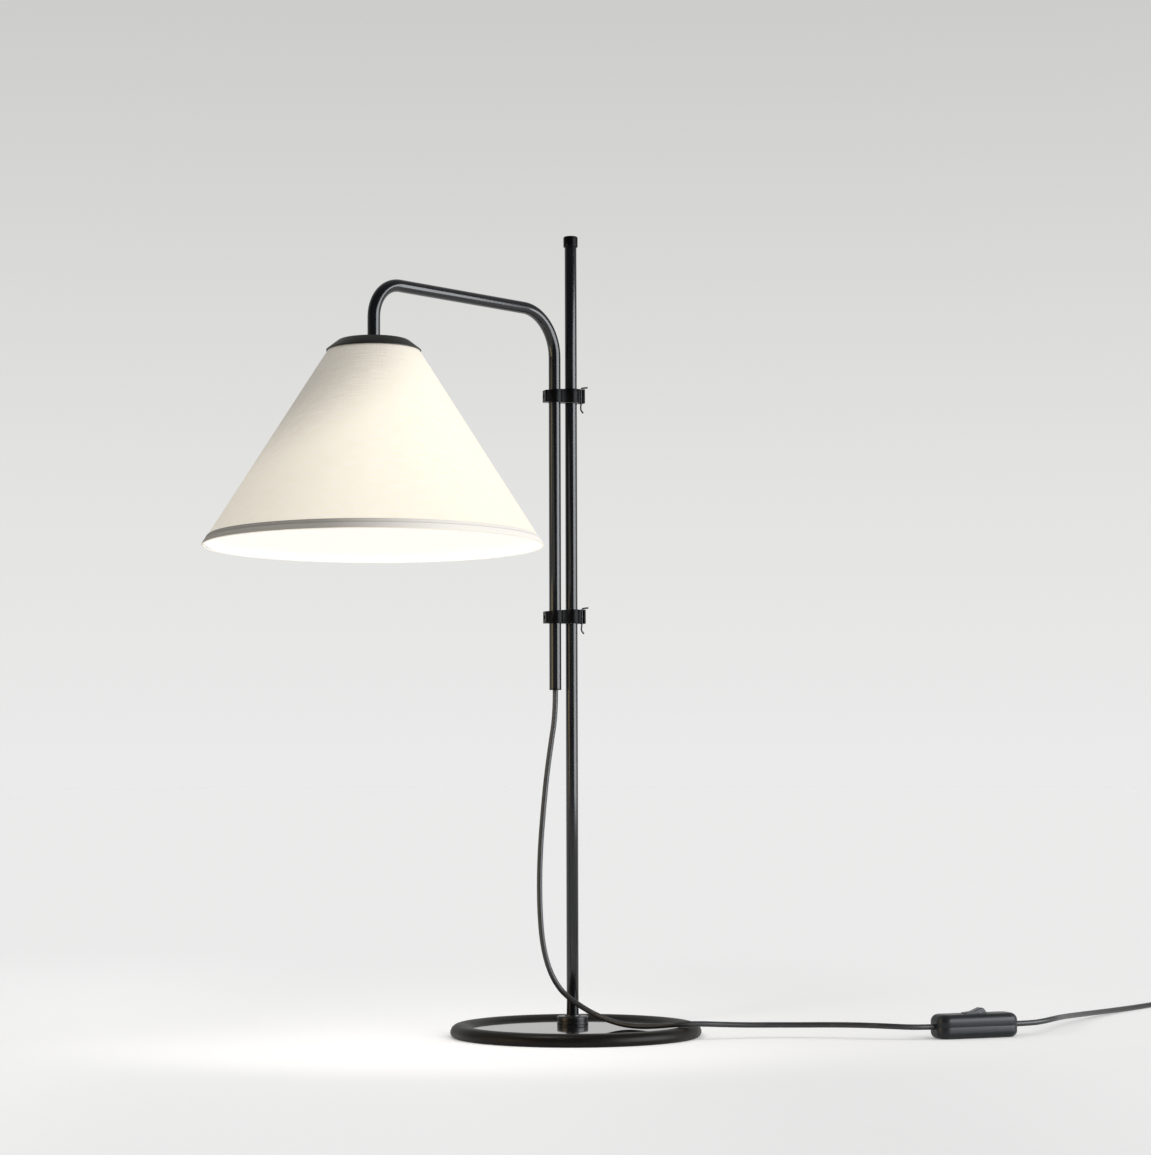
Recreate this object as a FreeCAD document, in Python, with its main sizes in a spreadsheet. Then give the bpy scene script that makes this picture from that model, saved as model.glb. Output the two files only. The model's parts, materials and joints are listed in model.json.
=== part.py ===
"""Two-tube desk lamp: an eccentric round base, an upright post, and an arm tube held beside it.

Frame: +Z up, the origin on the floor under the middle of the base, the arm pointing along -X.
Lengths are millimetres. The sheet "Sizes" holds the driving dimensions; every other size is worked
out from them, once as a number and once as the formula that the document keeps.
"""
import FreeCAD
import Part
import Sketcher
import math
import os

UP = FreeCAD.Vector(0, 0, 1)
DOCUMENT = FreeCAD.newDocument("desk_lamp")
SHEET = DOCUMENT.addObject("Spreadsheet::Sheet", "Sizes")
NODES = []

DRIVING_SIZES = {
    # base
    "base_radius": 102.0, "base_height": 10.2, "rim_width": 18.6, "rim_overlap": 11.0,
    "rim_crown_inset": 8.7, "rim_foot_inset": 2.6, "rim_side_height": 3.7,
    "rim_side_radius": 4.5, "rim_roll_radius": 10.4, "rim_slope_radius": 16.7,
    "disc_thickness": 5.8, "pad_thickness": 1.0, "pad_margin": 1.5,
    # post
    "post_radius": 5.0, "tube_wall": 1.0, "post_across": 26.0, "post_back": 27.0,
    "post_height": 663.6, "post_cap_radius": 6.05, "post_cap_height": 9.0, "cap_wall": 2.4,
    "hub_radius": 12.9, "hub_height": 6.4, "hub_step_radius": 6.7, "hub_step_height": 1.1,
    "hub_chamfer": 0.6, "post_cap_bevel": 1.3, "post_cap_round": 1.5,
    "foot_plug_length": 24.0, "foot_screw_radius": 2.5, "foot_head_radius": 4.7,
    "foot_head_height": 2.6, "foot_washer_radius": 5.6, "foot_washer_thickness": 0.8,
    "foot_thread_spare": 4.0, "foot_socket_radius": 2.3, "foot_socket_depth": 1.6,
    # arm tube
    "arm_offset": 14.5, "yoke_turn": 28.0, "arm_bottom": 282.9, "arm_level": 598.0,
    "arm_reach": 209.4, "clamp_bend_radius": 37.8, "head_bend_radius": 28.8,
    "head_lean": 0.9, "head_twist": 1.0, "end_bush_length": 9.0, "end_bush_lip": 0.8,
    # clamps
    "lower_clamp_bottom": 337.4, "upper_clamp_bottom": 522.5, "yoke_height": 11.7,
    "block_height": 9.9, "collar_radius": 7.0, "yoke_half_width": 4.6, "block_end": 9.4,
    "lug_end": 11.3, "bush_wall": 0.9, "bush_length": 3.0,
    "grub_radius": 1.5, "slot_width": 2.3, "slot_depth": 5.6, "slot_centre": 7.9,
    "wire_radius": 0.7, "eye_radius": 1.8, "pin_radius": 0.6, "tail_length": 8.4,
    "tail_bend_radius": 9.0, "tail_end_radius": 3.2, "tail_start": 1.5, "tail_bow": 0.7,
    "tail_kick": 1.8, "lip_length": 5.6, "lip_rise": 0.5, "lip_bend_radius": 1.6,
    "yoke_corner": 1.2, "slope_start": 3.5, "grub_inset": 0.6, "grub_socket_radius": 0.8,
    "pin_seat": 2.0, "eye_proud": 0.4,
    # lamp head
    "head_drop": 47.0, "shade_cap_radius": 28.0, "shade_cap_lip": 37.2, "shade_cap_height": 8.4,
    "shade_cap_round": 4.6, "shade_cap_drop": 2.4, "shade_cap_shoulder": 2.5,
    "sheet_wall": 1.0, "nipple_radius": 3.9, "nipple_bore": 2.9, "nipple_engagement": 12.0,
    "cap_skirt": 1.2, "shade_tuck": 0.8, "locknut_flats": 14.0, "locknut_thickness": 3.0,
    "holder_radius": 19.5, "holder_wall": 1.6, "holder_cap_height": 13.0,
    "holder_crown_radius": 10.7, "holder_edge_inset": 1.0, "holder_skirt_length": 40.0,
    "skirt_band_height": 18.0, "skirt_inset": 0.4, "skirt_end_inset": 1.0,
    "skirt_lip_gap": 1.6, "core_height": 16.0, "core_bore": 2.6, "thread_wall": 0.6,
    "contact_radius": 2.5, "bulb_cap_radius": 13.0,
    "bulb_cap_length": 22.0, "bulb_radius": 30.0, "bulb_length": 104.0, "bulb_cap_wall": 0.8,
    "bulb_tip_height": 4.0, "bulb_tip_radius": 4.4, "bulb_neck_engagement": 5.0,
    "glass_wall": 1.0, "contact_drop": 2.4,
    # shade
    "shade_top_radius": 35.5, "shade_bottom_radius": 132.5, "shade_height": 154.2,
    "fabric_thickness": 0.8, "liner_thickness": 0.5, "hoop_wire_radius": 1.6,
    "trim_height": 7.6, "trim_thickness": 0.5, "spider_bar_radius": 1.3,
    "spider_ring_width": 3.6, "spider_ring_thickness": 2.0, "spider_bar_overlap": 1.4,
    "shade_ring_thickness": 4.0, "shade_ring_width": 4.0,
    # mains lead
    "cord_radius": 2.25, "coil_outer_radius": 29.0, "coil_pitch": 5.05, "coil_layer_rise": 5.0,
    "coil_across": 605.9, "coil_back": -227.8, "coil_heading": 7.3, "lead_entry": 7.5,
    "lead_exit_run": 20.0, "switch_exit_run": 16.0, "plug_exit_run": 18.0,
    # switch on the lead
    "switch_length": 72.4, "switch_width": 25.0, "switch_height": 19.4, "switch_seam": 9.6,
    "switch_wall": 1.6, "rocker_radius": 10.0, "rocker_width": 9.0, "rocker_rise": 2.7,
    "rocker_dish": 0.9, "rocker_depth": 2.7, "rocker_tilt": 14.0,
    "switch_middle_across": 198.0, "switch_middle_back": -252.9, "switch_heading": -26.9,
    "rocker_pin_radius": 1.0, "rocker_pin_reach": 1.5, "rocker_pin_level": 6.1,
    "switch_corner": 9.0, "switch_top_round": 6.0, "switch_low_round": 5.3,
    "switch_end_solid": 6.4, "switch_side_solid": 3.2, "switch_roof": 2.5,
    "contact_block_margin": 1.5, "contact_block_gap": 1.0,
    # mains plug
    "plug_length": 36.0, "plug_width": 26.0, "plug_height": 13.4, "plug_relief_length": 22.0,
    "plug_relief_radius": 4.4, "plug_across": 562.0, "plug_back": -290.0,
    "plug_heading": -125.0, "pin_length": 19.0, "plug_pin_radius": 2.0, "pin_spread": 19.0,
    "relief_wall": 0.8, "plug_neck_margin": 1.6, "plug_taper_length": 15.1, "plug_round": 4.0,
    "pin_tip_round": 1.2,
    # gaps
    "running_gap": 0.05, "body_gap": 0.3, "screw_gap": 0.25, "cutter_spare": 2.0,
}


class Size:
    """A length or angle kept as a number and as the formula that gives it."""

    def __init__(self, formula, number):
        self.formula = formula
        self.number = number

    @staticmethod
    def of(value):
        """Make a size of a plain number, and leave a size as it is."""
        return value if isinstance(value, Size) else Size(repr(float(value)), float(value))

    def combine(self, sign, other, number):
        return Size("(%s %s %s)" % (self.formula, sign, Size.of(other).formula), number)

    def __add__(self, other):
        return self.combine("+", other, self.number + Size.of(other).number)

    def __sub__(self, other):
        return self.combine("-", other, self.number - Size.of(other).number)

    def __mul__(self, other):
        return self.combine("*", other, self.number * Size.of(other).number)

    def __truediv__(self, other):
        return self.combine("/", other, self.number / Size.of(other).number)

    def __radd__(self, other):
        return Size.of(other) + self

    def __rsub__(self, other):
        return Size.of(other) - self

    def __rmul__(self, other):
        return Size.of(other) * self

    def __neg__(self):
        return Size.of(0) - self


def write_sheet():
    """Fill the sheet with the driving dimensions, one row each, and return them as sizes."""
    found = {}
    for row, (alias, number) in enumerate(DRIVING_SIZES.items(), start=1):
        SHEET.set("A%d" % row, alias.replace("_", " "))
        SHEET.set("B%d" % row, str(number))
        SHEET.setAlias("B%d" % row, alias)
        found[alias] = Size("Sizes." + alias, number)
    DOCUMENT.recompute()
    return found


class Sizes:
    """The driving dimensions by name."""

    def __init__(self, found):
        self.__dict__.update(found)


S = Sizes(write_sheet())


# ---------------------------------------------------------------- building blocks

def bind(item, name, size):
    """Set one property of an object to a size, and keep its formula."""
    size = Size.of(size)
    item.setExpression(name, size.formula)
    return item


def place(item, across=0, back=0, up=0, rotation=None):
    """Put an object at a point given in sizes, turned by a rotation about that point."""
    point = [Size.of(value) for value in (across, back, up)]
    item.Placement = FreeCAD.Placement(
        FreeCAD.Vector(*[value.number for value in point]), rotation or FreeCAD.Rotation())
    for axis, value in zip("xyz", point):
        bind(item, "Placement.Base." + axis, value)
    return item


def cylinder(name, radius, height, across=0, back=0, up=0, rotation=None):
    item = DOCUMENT.addObject("Part::Cylinder", name)
    bind(item, "Radius", radius)
    bind(item, "Height", height)
    return place(item, across, back, up, rotation)


def box(name, length, width, height, across=0, back=0, up=0, rotation=None):
    item = DOCUMENT.addObject("Part::Box", name)
    bind(item, "Length", length)
    bind(item, "Width", width)
    bind(item, "Height", height)
    return place(item, across, back, up, rotation)


def cut(name, base, *tools):
    item = DOCUMENT.addObject("Part::Cut", name)
    item.Base = base
    item.Tool = tools[0] if len(tools) == 1 else fuse(name + "_cutters", *tools)
    return item


def fuse(name, *shapes):
    item = DOCUMENT.addObject("Part::MultiFuse", name)
    item.Shapes = list(shapes)
    return item


def node(item, name):
    """Enter an object as a piece of the lamp under its own name."""
    item.Label = name
    NODES.append(item)
    return item


def origin_plane(body, role):
    return next(plane for plane in body.Origin.OriginFeatures if plane.Role == role)


def fix_point(sketch, geometry, end, point):
    """Tie one end of a sketched line or arc to its distances from the sketch's origin."""
    for kind, size in zip(("DistanceX", "DistanceY"), point):
        size = Size.of(size)
        if size.number == 0:
            axis = -2 if kind == "DistanceX" else -1
            sketch.addConstraint(Sketcher.Constraint("PointOnObject", geometry, end, axis))
            continue
        ends = (-1, 1, geometry, end) if size.number > 0 else (geometry, end, -1, 1)
        length = size if size.number > 0 else -size
        index = sketch.addConstraint(Sketcher.Constraint(kind, *ends, length.number))
        sketch.setExpression("Constraints[%d]" % index, length.formula)


def arc_middle(start, end, radius):
    """Middle point of the shorter arc between two points, bulging to the left for a radius > 0."""
    chord = end - start
    half = chord.Length / 2
    rise = abs(radius) - math.sqrt(max(radius * radius - half * half, 0))
    side = FreeCAD.Vector(-chord.y, chord.x, 0).normalize() * math.copysign(rise, radius)
    return (start + end) * 0.5 + side


def outline(body, role, points):
    """Sketch a closed outline on an origin plane of the body.

    Each entry is (x, y) or (x, y, radius); a radius makes the line that ends there an arc, which
    bulges to the left of its run where the radius is positive.
    """
    sketch = body.newObject("Sketcher::SketchObject", body.Name + "_outline")
    sketch.AttachmentSupport = [(origin_plane(body, role), "")]
    sketch.MapMode = "FlatFace"
    corners = [FreeCAD.Vector(Size.of(p[0]).number, Size.of(p[1]).number, 0) for p in points]
    for index, point in enumerate(points):
        start, end = corners[index - 1], corners[index]
        if len(point) == 2:
            sketch.addGeometry(Part.LineSegment(start, end), False)
        else:
            middle = arc_middle(start, end, Size.of(point[2]).number)
            sketch.addGeometry(Part.Arc(start, middle, end), False)
    arcs = [len(point) == 3 for point in points]
    count = len(points)
    ends = []
    for index in range(count):
        counterclockwise = not arcs[index] or Size.of(points[index][2]).number < 0
        ends.append((1, 2) if counterclockwise else (2, 1))
    for index in range(count):
        following = (index + 1) % count
        sketch.addConstraint(Sketcher.Constraint(
            "Coincident", index, ends[index][1], following, ends[following][0]))
        if arcs[index]:
            radius = Size.of(points[index][2])
            radius = radius if radius.number > 0 else -radius
            number = sketch.addConstraint(Sketcher.Constraint("Radius", index, radius.number))
            sketch.setExpression("Constraints[%d]" % number, radius.formula)
        fix_point(sketch, index, ends[index][1], points[index])
    return sketch


def turned(name, *outlines):
    """A piece turned about the Z axis from one or more (radius, height) outlines."""
    body = DOCUMENT.addObject("PartDesign::Body", name)
    for points in outlines:
        sketch = outline(body, "XZ_Plane", points)
        turn = body.newObject("PartDesign::Revolution", name + "_turn")
        turn.Profile = sketch
        turn.ReferenceAxis = (sketch, ["V_Axis"])
        turn.Angle = 360.0
    return body


def hoop(name, ring_radius, wire_radius, level):
    """A wire ring about the Z axis, its wire's middle at the given radius and level."""
    body = DOCUMENT.addObject("PartDesign::Body", name)
    sketch = body.newObject("Sketcher::SketchObject", name + "_outline")
    sketch.AttachmentSupport = [(origin_plane(body, "XZ_Plane"), "")]
    sketch.MapMode = "FlatFace"
    centre = FreeCAD.Vector(ring_radius.number, level.number, 0)
    sketch.addGeometry(Part.Circle(centre, FreeCAD.Vector(0, 0, 1), wire_radius.number), False)
    index = sketch.addConstraint(Sketcher.Constraint("Radius", 0, wire_radius.number))
    sketch.setExpression("Constraints[%d]" % index, wire_radius.formula)
    fix_point(sketch, 0, 3, (ring_radius, level))
    turn = body.newObject("PartDesign::Revolution", name + "_turn")
    turn.Profile = sketch
    turn.ReferenceAxis = (sketch, ["V_Axis"])
    turn.Angle = 360.0
    return body


def ring(name, inner, outer, bottom, top):
    """A plain turned ring."""
    return turned(name, [(inner, bottom), (outer, bottom), (outer, top), (inner, top)])


def padded(name, points, height):
    """A piece pushed up from an outline on the XY plane."""
    body = DOCUMENT.addObject("PartDesign::Body", name)
    pad = body.newObject("PartDesign::Pad", name + "_pad")
    pad.Profile = outline(body, "XY_Plane", points)
    bind(pad, "Length", height)
    return body


def shaped(name, shape, placement=None):
    """A piece whose form is worked out here from the same sizes."""
    item = DOCUMENT.addObject("Part::Feature", name)
    item.Shape = shape
    if placement is not None:
        item.Placement = placement
    return node(item, name)


def route_edges(points, radii):
    """Straight runs joined by tangent arcs, one radius for each inner point."""
    edges = []
    here = points[0]
    for before, corner, after, radius in zip(points, points[1:], points[2:], radii):
        inward = (before - corner).normalize()
        outward = (after - corner).normalize()
        half_turn = (math.pi - inward.getAngle(outward)) / 2
        reach = radius * math.tan(half_turn)
        start, end = corner + inward * reach, corner + outward * reach
        middle_way = (inward + outward).normalize()
        middle = corner + middle_way * (radius / math.cos(half_turn) - radius)
        edges.append(Part.LineSegment(here, start).toShape())
        edges.append(Part.Arc(start, middle, end).toShape())
        here = end
    edges.append(Part.LineSegment(here, points[-1]).toShape())
    return edges


def pipe(edges, radius):
    """A round solid bar along joined edges; its volume is compared with section times length."""
    path = Part.Wire(edges)
    heading = edges[0].tangentAt(edges[0].FirstParameter)
    start = edges[0].valueAt(edges[0].FirstParameter)
    section = Part.Wire([Part.Circle(start, heading, radius).toShape()])
    solid = path.makePipeShell([section], True, False)
    expected = math.pi * radius ** 2 * path.Length
    if not solid.isValid() or abs(solid.Volume - expected) > 0.01 * expected:
        raise ValueError("a bent bar came out wrong: %.1f for %.1f" % (solid.Volume, expected))
    return solid, path.Length


# ---------------------------------------------------------------- where things are

POST = (S.post_across, S.post_back)
TURN = math.radians(S.yoke_turn.number)
YOKE_ROTATION = FreeCAD.Rotation(UP, -S.yoke_turn.number)
DISC_TOP = S.pad_thickness + S.disc_thickness
DISC_RADIUS = S.base_radius - S.rim_width + S.rim_overlap
ARM_AXIS = FreeCAD.Vector(
    S.post_across.number - S.arm_offset.number * math.cos(TURN),
    S.post_back.number + S.arm_offset.number * math.sin(TURN), 0)
HEAD_CORNER = ARM_AXIS + FreeCAD.Vector(-S.arm_reach.number, 0, S.arm_level.number)
HEAD_ROTATION = FreeCAD.Rotation(FreeCAD.Vector(1, 0, 0), -S.head_twist.number).multiply(
    FreeCAD.Rotation(FreeCAD.Vector(0, 1, 0), S.head_lean.number))
HEAD = FreeCAD.Placement(HEAD_CORNER, HEAD_ROTATION)
CAP_TOP = -S.head_drop
TUBE_BORE = S.post_radius - S.tube_wall
BULB_SHOULDER = 0.52
SPIDER_BARS = 3
ARC_SHARE = 0.45
HALF_TURNS = 4
COIL_SAMPLE = 1.5


# ---------------------------------------------------------------- base and post

def build_base():
    """The steel disc, the soft rim moulded round its edge, and the pad under it."""
    blank = cylinder("disc_blank", DISC_RADIUS, S.disc_thickness, up=S.pad_thickness)
    hole = cylinder("disc_hole", S.foot_screw_radius + S.screw_gap, S.disc_thickness,
                    *POST, S.pad_thickness)
    recess_depth = S.foot_head_height + S.foot_washer_thickness + S.body_gap
    recess = cylinder("disc_recess", S.foot_washer_radius + S.screw_gap, recess_depth,
                      *POST, S.pad_thickness)
    node(cut("base_disc", blank, hole, recess), "base_disc")
    inner = S.base_radius - S.rim_width
    crown = S.base_radius - S.rim_crown_inset
    foot_inner = DISC_RADIUS - S.rim_overlap + S.body_gap
    node(turned("base_rim", [
        (foot_inner, 0), (S.base_radius - S.rim_foot_inset, 0),
        (S.base_radius, S.rim_side_height, -S.rim_side_radius),
        (crown, S.base_height, -S.rim_roll_radius),
        (inner, DISC_TOP, -S.rim_slope_radius),
        (DISC_RADIUS, DISC_TOP), (DISC_RADIUS, S.pad_thickness),
        (foot_inner, S.pad_thickness)]), "base_rim")
    pad_radius = foot_inner - S.pad_margin
    node(cylinder("base_pad", pad_radius, S.pad_thickness), "base_pad")


def build_post():
    """Hub, upright tube with its threaded foot and screw, and the cap on top."""
    bore = S.post_radius + S.running_gap
    hub_top = S.hub_height
    hub = turned("post_hub", [
        (bore, 0), (S.hub_radius, 0), (S.hub_radius, hub_top - S.hub_chamfer),
        (S.hub_radius - S.hub_chamfer, hub_top), (S.hub_step_radius, hub_top),
        (S.hub_step_radius, hub_top + S.hub_step_height), (bore, hub_top + S.hub_step_height)])
    node(place(hub, *POST, DISC_TOP), "post_hub")
    tube_top = S.post_height - S.cap_wall
    tube = ring("post_tube", TUBE_BORE, S.post_radius, 0, tube_top - DISC_TOP)
    node(place(tube, *POST, DISC_TOP), "post_tube")
    plug = ring("post_foot_plug", S.foot_screw_radius, TUBE_BORE - S.running_gap, 0,
                S.foot_plug_length)
    node(place(plug, *POST, DISC_TOP), "post_foot_plug")
    head_bottom = S.pad_thickness + S.body_gap
    washer_bottom = head_bottom + S.foot_head_height
    washer = ring("post_washer", S.foot_screw_radius + S.running_gap, S.foot_washer_radius, 0,
                  S.foot_washer_thickness)
    node(place(washer, *POST, washer_bottom), "post_washer")
    head = cylinder("screw_head", S.foot_head_radius, S.foot_head_height, *POST, head_bottom)
    shank_length = DISC_TOP + S.foot_plug_length - S.foot_thread_spare - head_bottom
    shank = cylinder("screw_shank", S.foot_screw_radius - S.running_gap, shank_length, *POST,
                     head_bottom)
    socket = DOCUMENT.addObject("Part::Prism", "screw_socket")
    socket.Polygon = 6
    bind(socket, "Circumradius", S.foot_socket_radius)
    bind(socket, "Height", S.foot_socket_depth)
    place(socket, *POST, head_bottom)
    node(cut("post_screw", fuse("screw_blank", head, shank), socket), "post_screw")
    bevel = S.post_cap_bevel
    cap = turned("post_cap", [
        (bore, 0), (S.post_cap_radius, 0), (S.post_cap_radius, S.post_cap_height - bevel),
        (S.post_cap_radius - bevel, S.post_cap_height, -S.post_cap_round),
        (0, S.post_cap_height), (0, S.post_cap_height - S.cap_wall),
        (bore, S.post_cap_height - S.cap_wall)])
    node(place(cap, *POST, S.post_height - S.post_cap_height), "post_cap")


# ---------------------------------------------------------------- arm tube and clamps

def arm_route():
    """Corner points of the arm tube, from its open lower end to the lamp head."""
    tube_end = HEAD.multVec(FreeCAD.Vector(0, 0, CAP_TOP.number))
    return [ARM_AXIS + UP * S.arm_bottom.number, ARM_AXIS + UP * S.arm_level.number,
            HEAD_CORNER, tube_end]


def build_arm_tube():
    """The bent tube, the bush in its lower end and the lead that runs through it."""
    edges = route_edges(arm_route(), [S.clamp_bend_radius.number, S.head_bend_radius.number])
    outside = pipe(edges, S.post_radius.number)[0]
    inside = pipe(edges, TUBE_BORE.number)[0]
    shaped("arm_tube", outside.cut(inside))
    cord_hole = S.cord_radius + S.running_gap
    bush = turned("arm_end_bush", [
        (cord_hole, -S.end_bush_lip), (S.post_radius, -S.end_bush_lip), (S.post_radius, 0),
        (TUBE_BORE - S.running_gap, 0), (TUBE_BORE - S.running_gap, S.end_bush_length),
        (cord_hole, S.end_bush_length)])
    arm_across = S.post_across - S.arm_offset * Size("cos(Sizes.yoke_turn)", math.cos(TURN))
    arm_back = S.post_back + S.arm_offset * Size("sin(Sizes.yoke_turn)", math.sin(TURN))
    node(place(bush, arm_across, arm_back, S.arm_bottom), "arm_end_bush")
    lead_points = arm_route()
    lead_points[0] = lead_points[0] - UP * S.end_bush_lip.number
    lead_points[3] = HEAD.multVec(FreeCAD.Vector(0, 0, core_top().number))
    lead_edges = route_edges(
        lead_points, [S.clamp_bend_radius.number, S.head_bend_radius.number])
    shaped("tube_lead", pipe(lead_edges, S.cord_radius.number)[0])


def yoke_blank(name):
    """Clamp body seen from above: block, arm collar, web, post collar and lug in one outline."""
    half = S.yoke_half_width
    left = S.arm_offset + S.block_end
    round_corner = S.yoke_corner
    body = padded(name + "_plan", [
        (-left, -(half - round_corner)), (-(left - round_corner), -half, -round_corner),
        (S.lug_end - round_corner, -half), (S.lug_end, -(half - round_corner), -round_corner),
        (S.lug_end, half - round_corner), (S.lug_end - round_corner, half, -round_corner),
        (-(left - round_corner), half), (-left, half - round_corner, -round_corner)],
        S.yoke_height)
    arm_collar = cylinder(name + "_arm_collar", S.collar_radius, S.yoke_height, -S.arm_offset)
    post_collar = cylinder(name + "_post_collar", S.collar_radius, S.yoke_height)
    return fuse(name + "_blank", body, arm_collar, post_collar)


def clamp(name, bottom):
    """One clamp: yoke, two post bushes, the arm's grub screw, and the sprung release wire."""
    left = S.arm_offset + S.block_end
    height = S.yoke_height
    bush_outer = S.post_radius + S.bush_wall
    post_hole = cylinder(name + "_post_hole", S.post_radius + S.body_gap, height)
    seats = [cylinder(name + "_seat_%s" % end, bush_outer + S.running_gap, S.bush_length, up=at)
             for end, at in (("low", 0), ("high", height - S.bush_length))]
    arm_hole = cylinder(name + "_arm_hole", S.post_radius + S.running_gap, height, -S.arm_offset)
    grub_level = S.block_height / 2
    grub_hole = cylinder(name + "_grub_hole", S.grub_radius + S.running_gap, left, -left, 0,
                         grub_level, FreeCAD.Rotation(FreeCAD.Vector(0, 1, 0), 90))
    grub_half = box(name + "_grub_limit", S.arm_offset, S.collar_radius * 2, height,
                    -S.arm_offset, -S.collar_radius, 0)
    grub_bore = cut(name + "_grub_bore", grub_hole, grub_half)
    slot = box(name + "_slot", S.slot_width, S.slot_depth, height,
               S.slot_centre - S.slot_width / 2, -S.yoke_half_width, 0)
    pin_hole = cylinder(name + "_pin_hole", S.pin_radius + S.running_gap,
                        S.lug_end - S.collar_radius + S.pin_seat,
                        S.collar_radius - S.pin_seat,
                        eye_depth(), height / 2,
                        FreeCAD.Rotation(FreeCAD.Vector(0, 1, 0), 90))
    yoke = cut(name + "_uncut", yoke_blank(name), post_hole, *seats, arm_hole, grub_bore, slot,
               pin_hole)
    slope = slope_wedge(name + "_slope", left, height)
    yoke = cut(name + "_clamp_yoke", yoke, slope)
    node(place(yoke, *POST, bottom, YOKE_ROTATION), name + "_clamp_yoke")
    for end, low in (("bottom", Size.of(0)), ("top", height - S.bush_length)):
        bush = ring(name + "_bush_" + end, S.post_radius + S.running_gap, bush_outer, 0,
                    S.bush_length)
        node(place(bush, *POST, bottom + low), name + "_bush_" + end)
    grub = cylinder(name + "_grub_screw", S.grub_radius,
                    S.block_end - S.post_radius - S.grub_inset)
    grub_socket = DOCUMENT.addObject("Part::Prism", name + "_grub_socket")
    grub_socket.Polygon = 6
    bind(grub_socket, "Circumradius", S.grub_socket_radius)
    bind(grub_socket, "Height", S.grub_radius)
    screw = cut(name + "_arm_screw", grub, grub_socket)
    start = local_point(-(left - S.grub_inset), 0)
    node(place(screw, start[0], start[1], bottom + grub_level,
               YOKE_ROTATION.multiply(FreeCAD.Rotation(FreeCAD.Vector(0, 1, 0), 90))),
         name + "_arm_screw")
    build_release(name, bottom)


def local_point(along, aside):
    """A point of a clamp, along and aside of the line through both tubes, in the lamp's frame."""
    cosine = Size("cos(Sizes.yoke_turn)", math.cos(TURN))
    sine = Size("sin(Sizes.yoke_turn)", math.sin(TURN))
    return (S.post_across + cosine * along + sine * aside,
            S.post_back - sine * along + cosine * aside)


def eye_depth():
    """How far aside the release wire's pivot lies: the wire stands just proud of the slot."""
    return -(S.yoke_half_width - S.eye_radius - S.eye_proud)


def slope_wedge(name, left, height):
    """The wedge that slopes the top of a yoke down from the post collar to the end block."""
    body = DOCUMENT.addObject("PartDesign::Body", name)
    beyond = left + S.cutter_spare
    above = height + S.cutter_spare
    sketch = outline(body, "XZ_Plane", [
        (-beyond, S.block_height), (-left, S.block_height), (-S.slope_start, height),
        (-S.slope_start, above), (-beyond, above)])
    pad = body.newObject("PartDesign::Pad", name + "_pad")
    pad.Profile = sketch
    bind(pad, "Length", (S.collar_radius + S.cutter_spare) * 2)
    pad.Midplane = True
    return body


def build_release(name, bottom):
    """The bent wire that frees the clamp: lip over the lug, eye round its pin, curved tail."""
    wire = S.wire_radius.number
    half_height = S.yoke_height.number / 2
    depth = eye_depth().number
    face = depth - S.eye_radius.number + wire
    lip_level = half_height + wire + S.body_gap.number
    tail = S.tail_length.number
    lip_end = FreeCAD.Vector(S.lip_length.number, 0, lip_level + S.lip_rise.number)
    points = [lip_end, FreeCAD.Vector(0, 0, lip_level),
              FreeCAD.Vector(0, 0, -half_height - S.tail_start.number),
              FreeCAD.Vector(-S.tail_bow.number, 0, -half_height - tail / 2),
              FreeCAD.Vector(S.tail_kick.number, 0, -half_height - tail)]
    edges = route_edges(points, [S.lip_bend_radius.number, S.tail_bend_radius.number,
                                 S.tail_end_radius.number])
    bar = pipe(edges, wire)[0]
    bar.translate(FreeCAD.Vector(0, face, 0))
    along = FreeCAD.Vector(1, 0, 0)
    eye_start = FreeCAD.Vector(-wire, depth, 0)
    eye = Part.makeCylinder(S.eye_radius.number, 2 * wire, eye_start, along)
    hole = Part.makeCylinder(S.pin_radius.number + S.running_gap.number, 2 * wire, eye_start, along)
    lever = bar.fuse(eye).removeSplitter().cut(hole)
    centre = local_point(S.slot_centre, 0)
    where = FreeCAD.Vector(centre[0].number, centre[1].number, bottom.number + half_height)
    shaped(name + "_release_wire", lever, FreeCAD.Placement(where, YOKE_ROTATION))
    seat = S.pin_seat - S.body_gap
    pin_start = local_point(S.collar_radius - seat, eye_depth())
    pin = cylinder(name + "_release_pin", S.pin_radius,
                   S.lug_end - S.body_gap - S.collar_radius + seat)
    node(place(pin, pin_start[0], pin_start[1], bottom + S.yoke_height / 2,
               YOKE_ROTATION.multiply(FreeCAD.Rotation(FreeCAD.Vector(0, 1, 0), 90))),
         name + "_release_pin")


# ---------------------------------------------------------------- lamp head

def at_head(item):
    """Put a piece that was built about the head's axis, its corner at zero, on the arm's end."""
    item.Placement = HEAD
    return item


def holder_top():
    """Top of the lampholder: under the shade cap's plate and the locknut."""
    return CAP_TOP - S.sheet_wall - S.locknut_thickness - S.body_gap


def core_top():
    """Top of the lampholder's core, where the lead through the tube ends."""
    return holder_top() - S.holder_cap_height - S.body_gap


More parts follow.
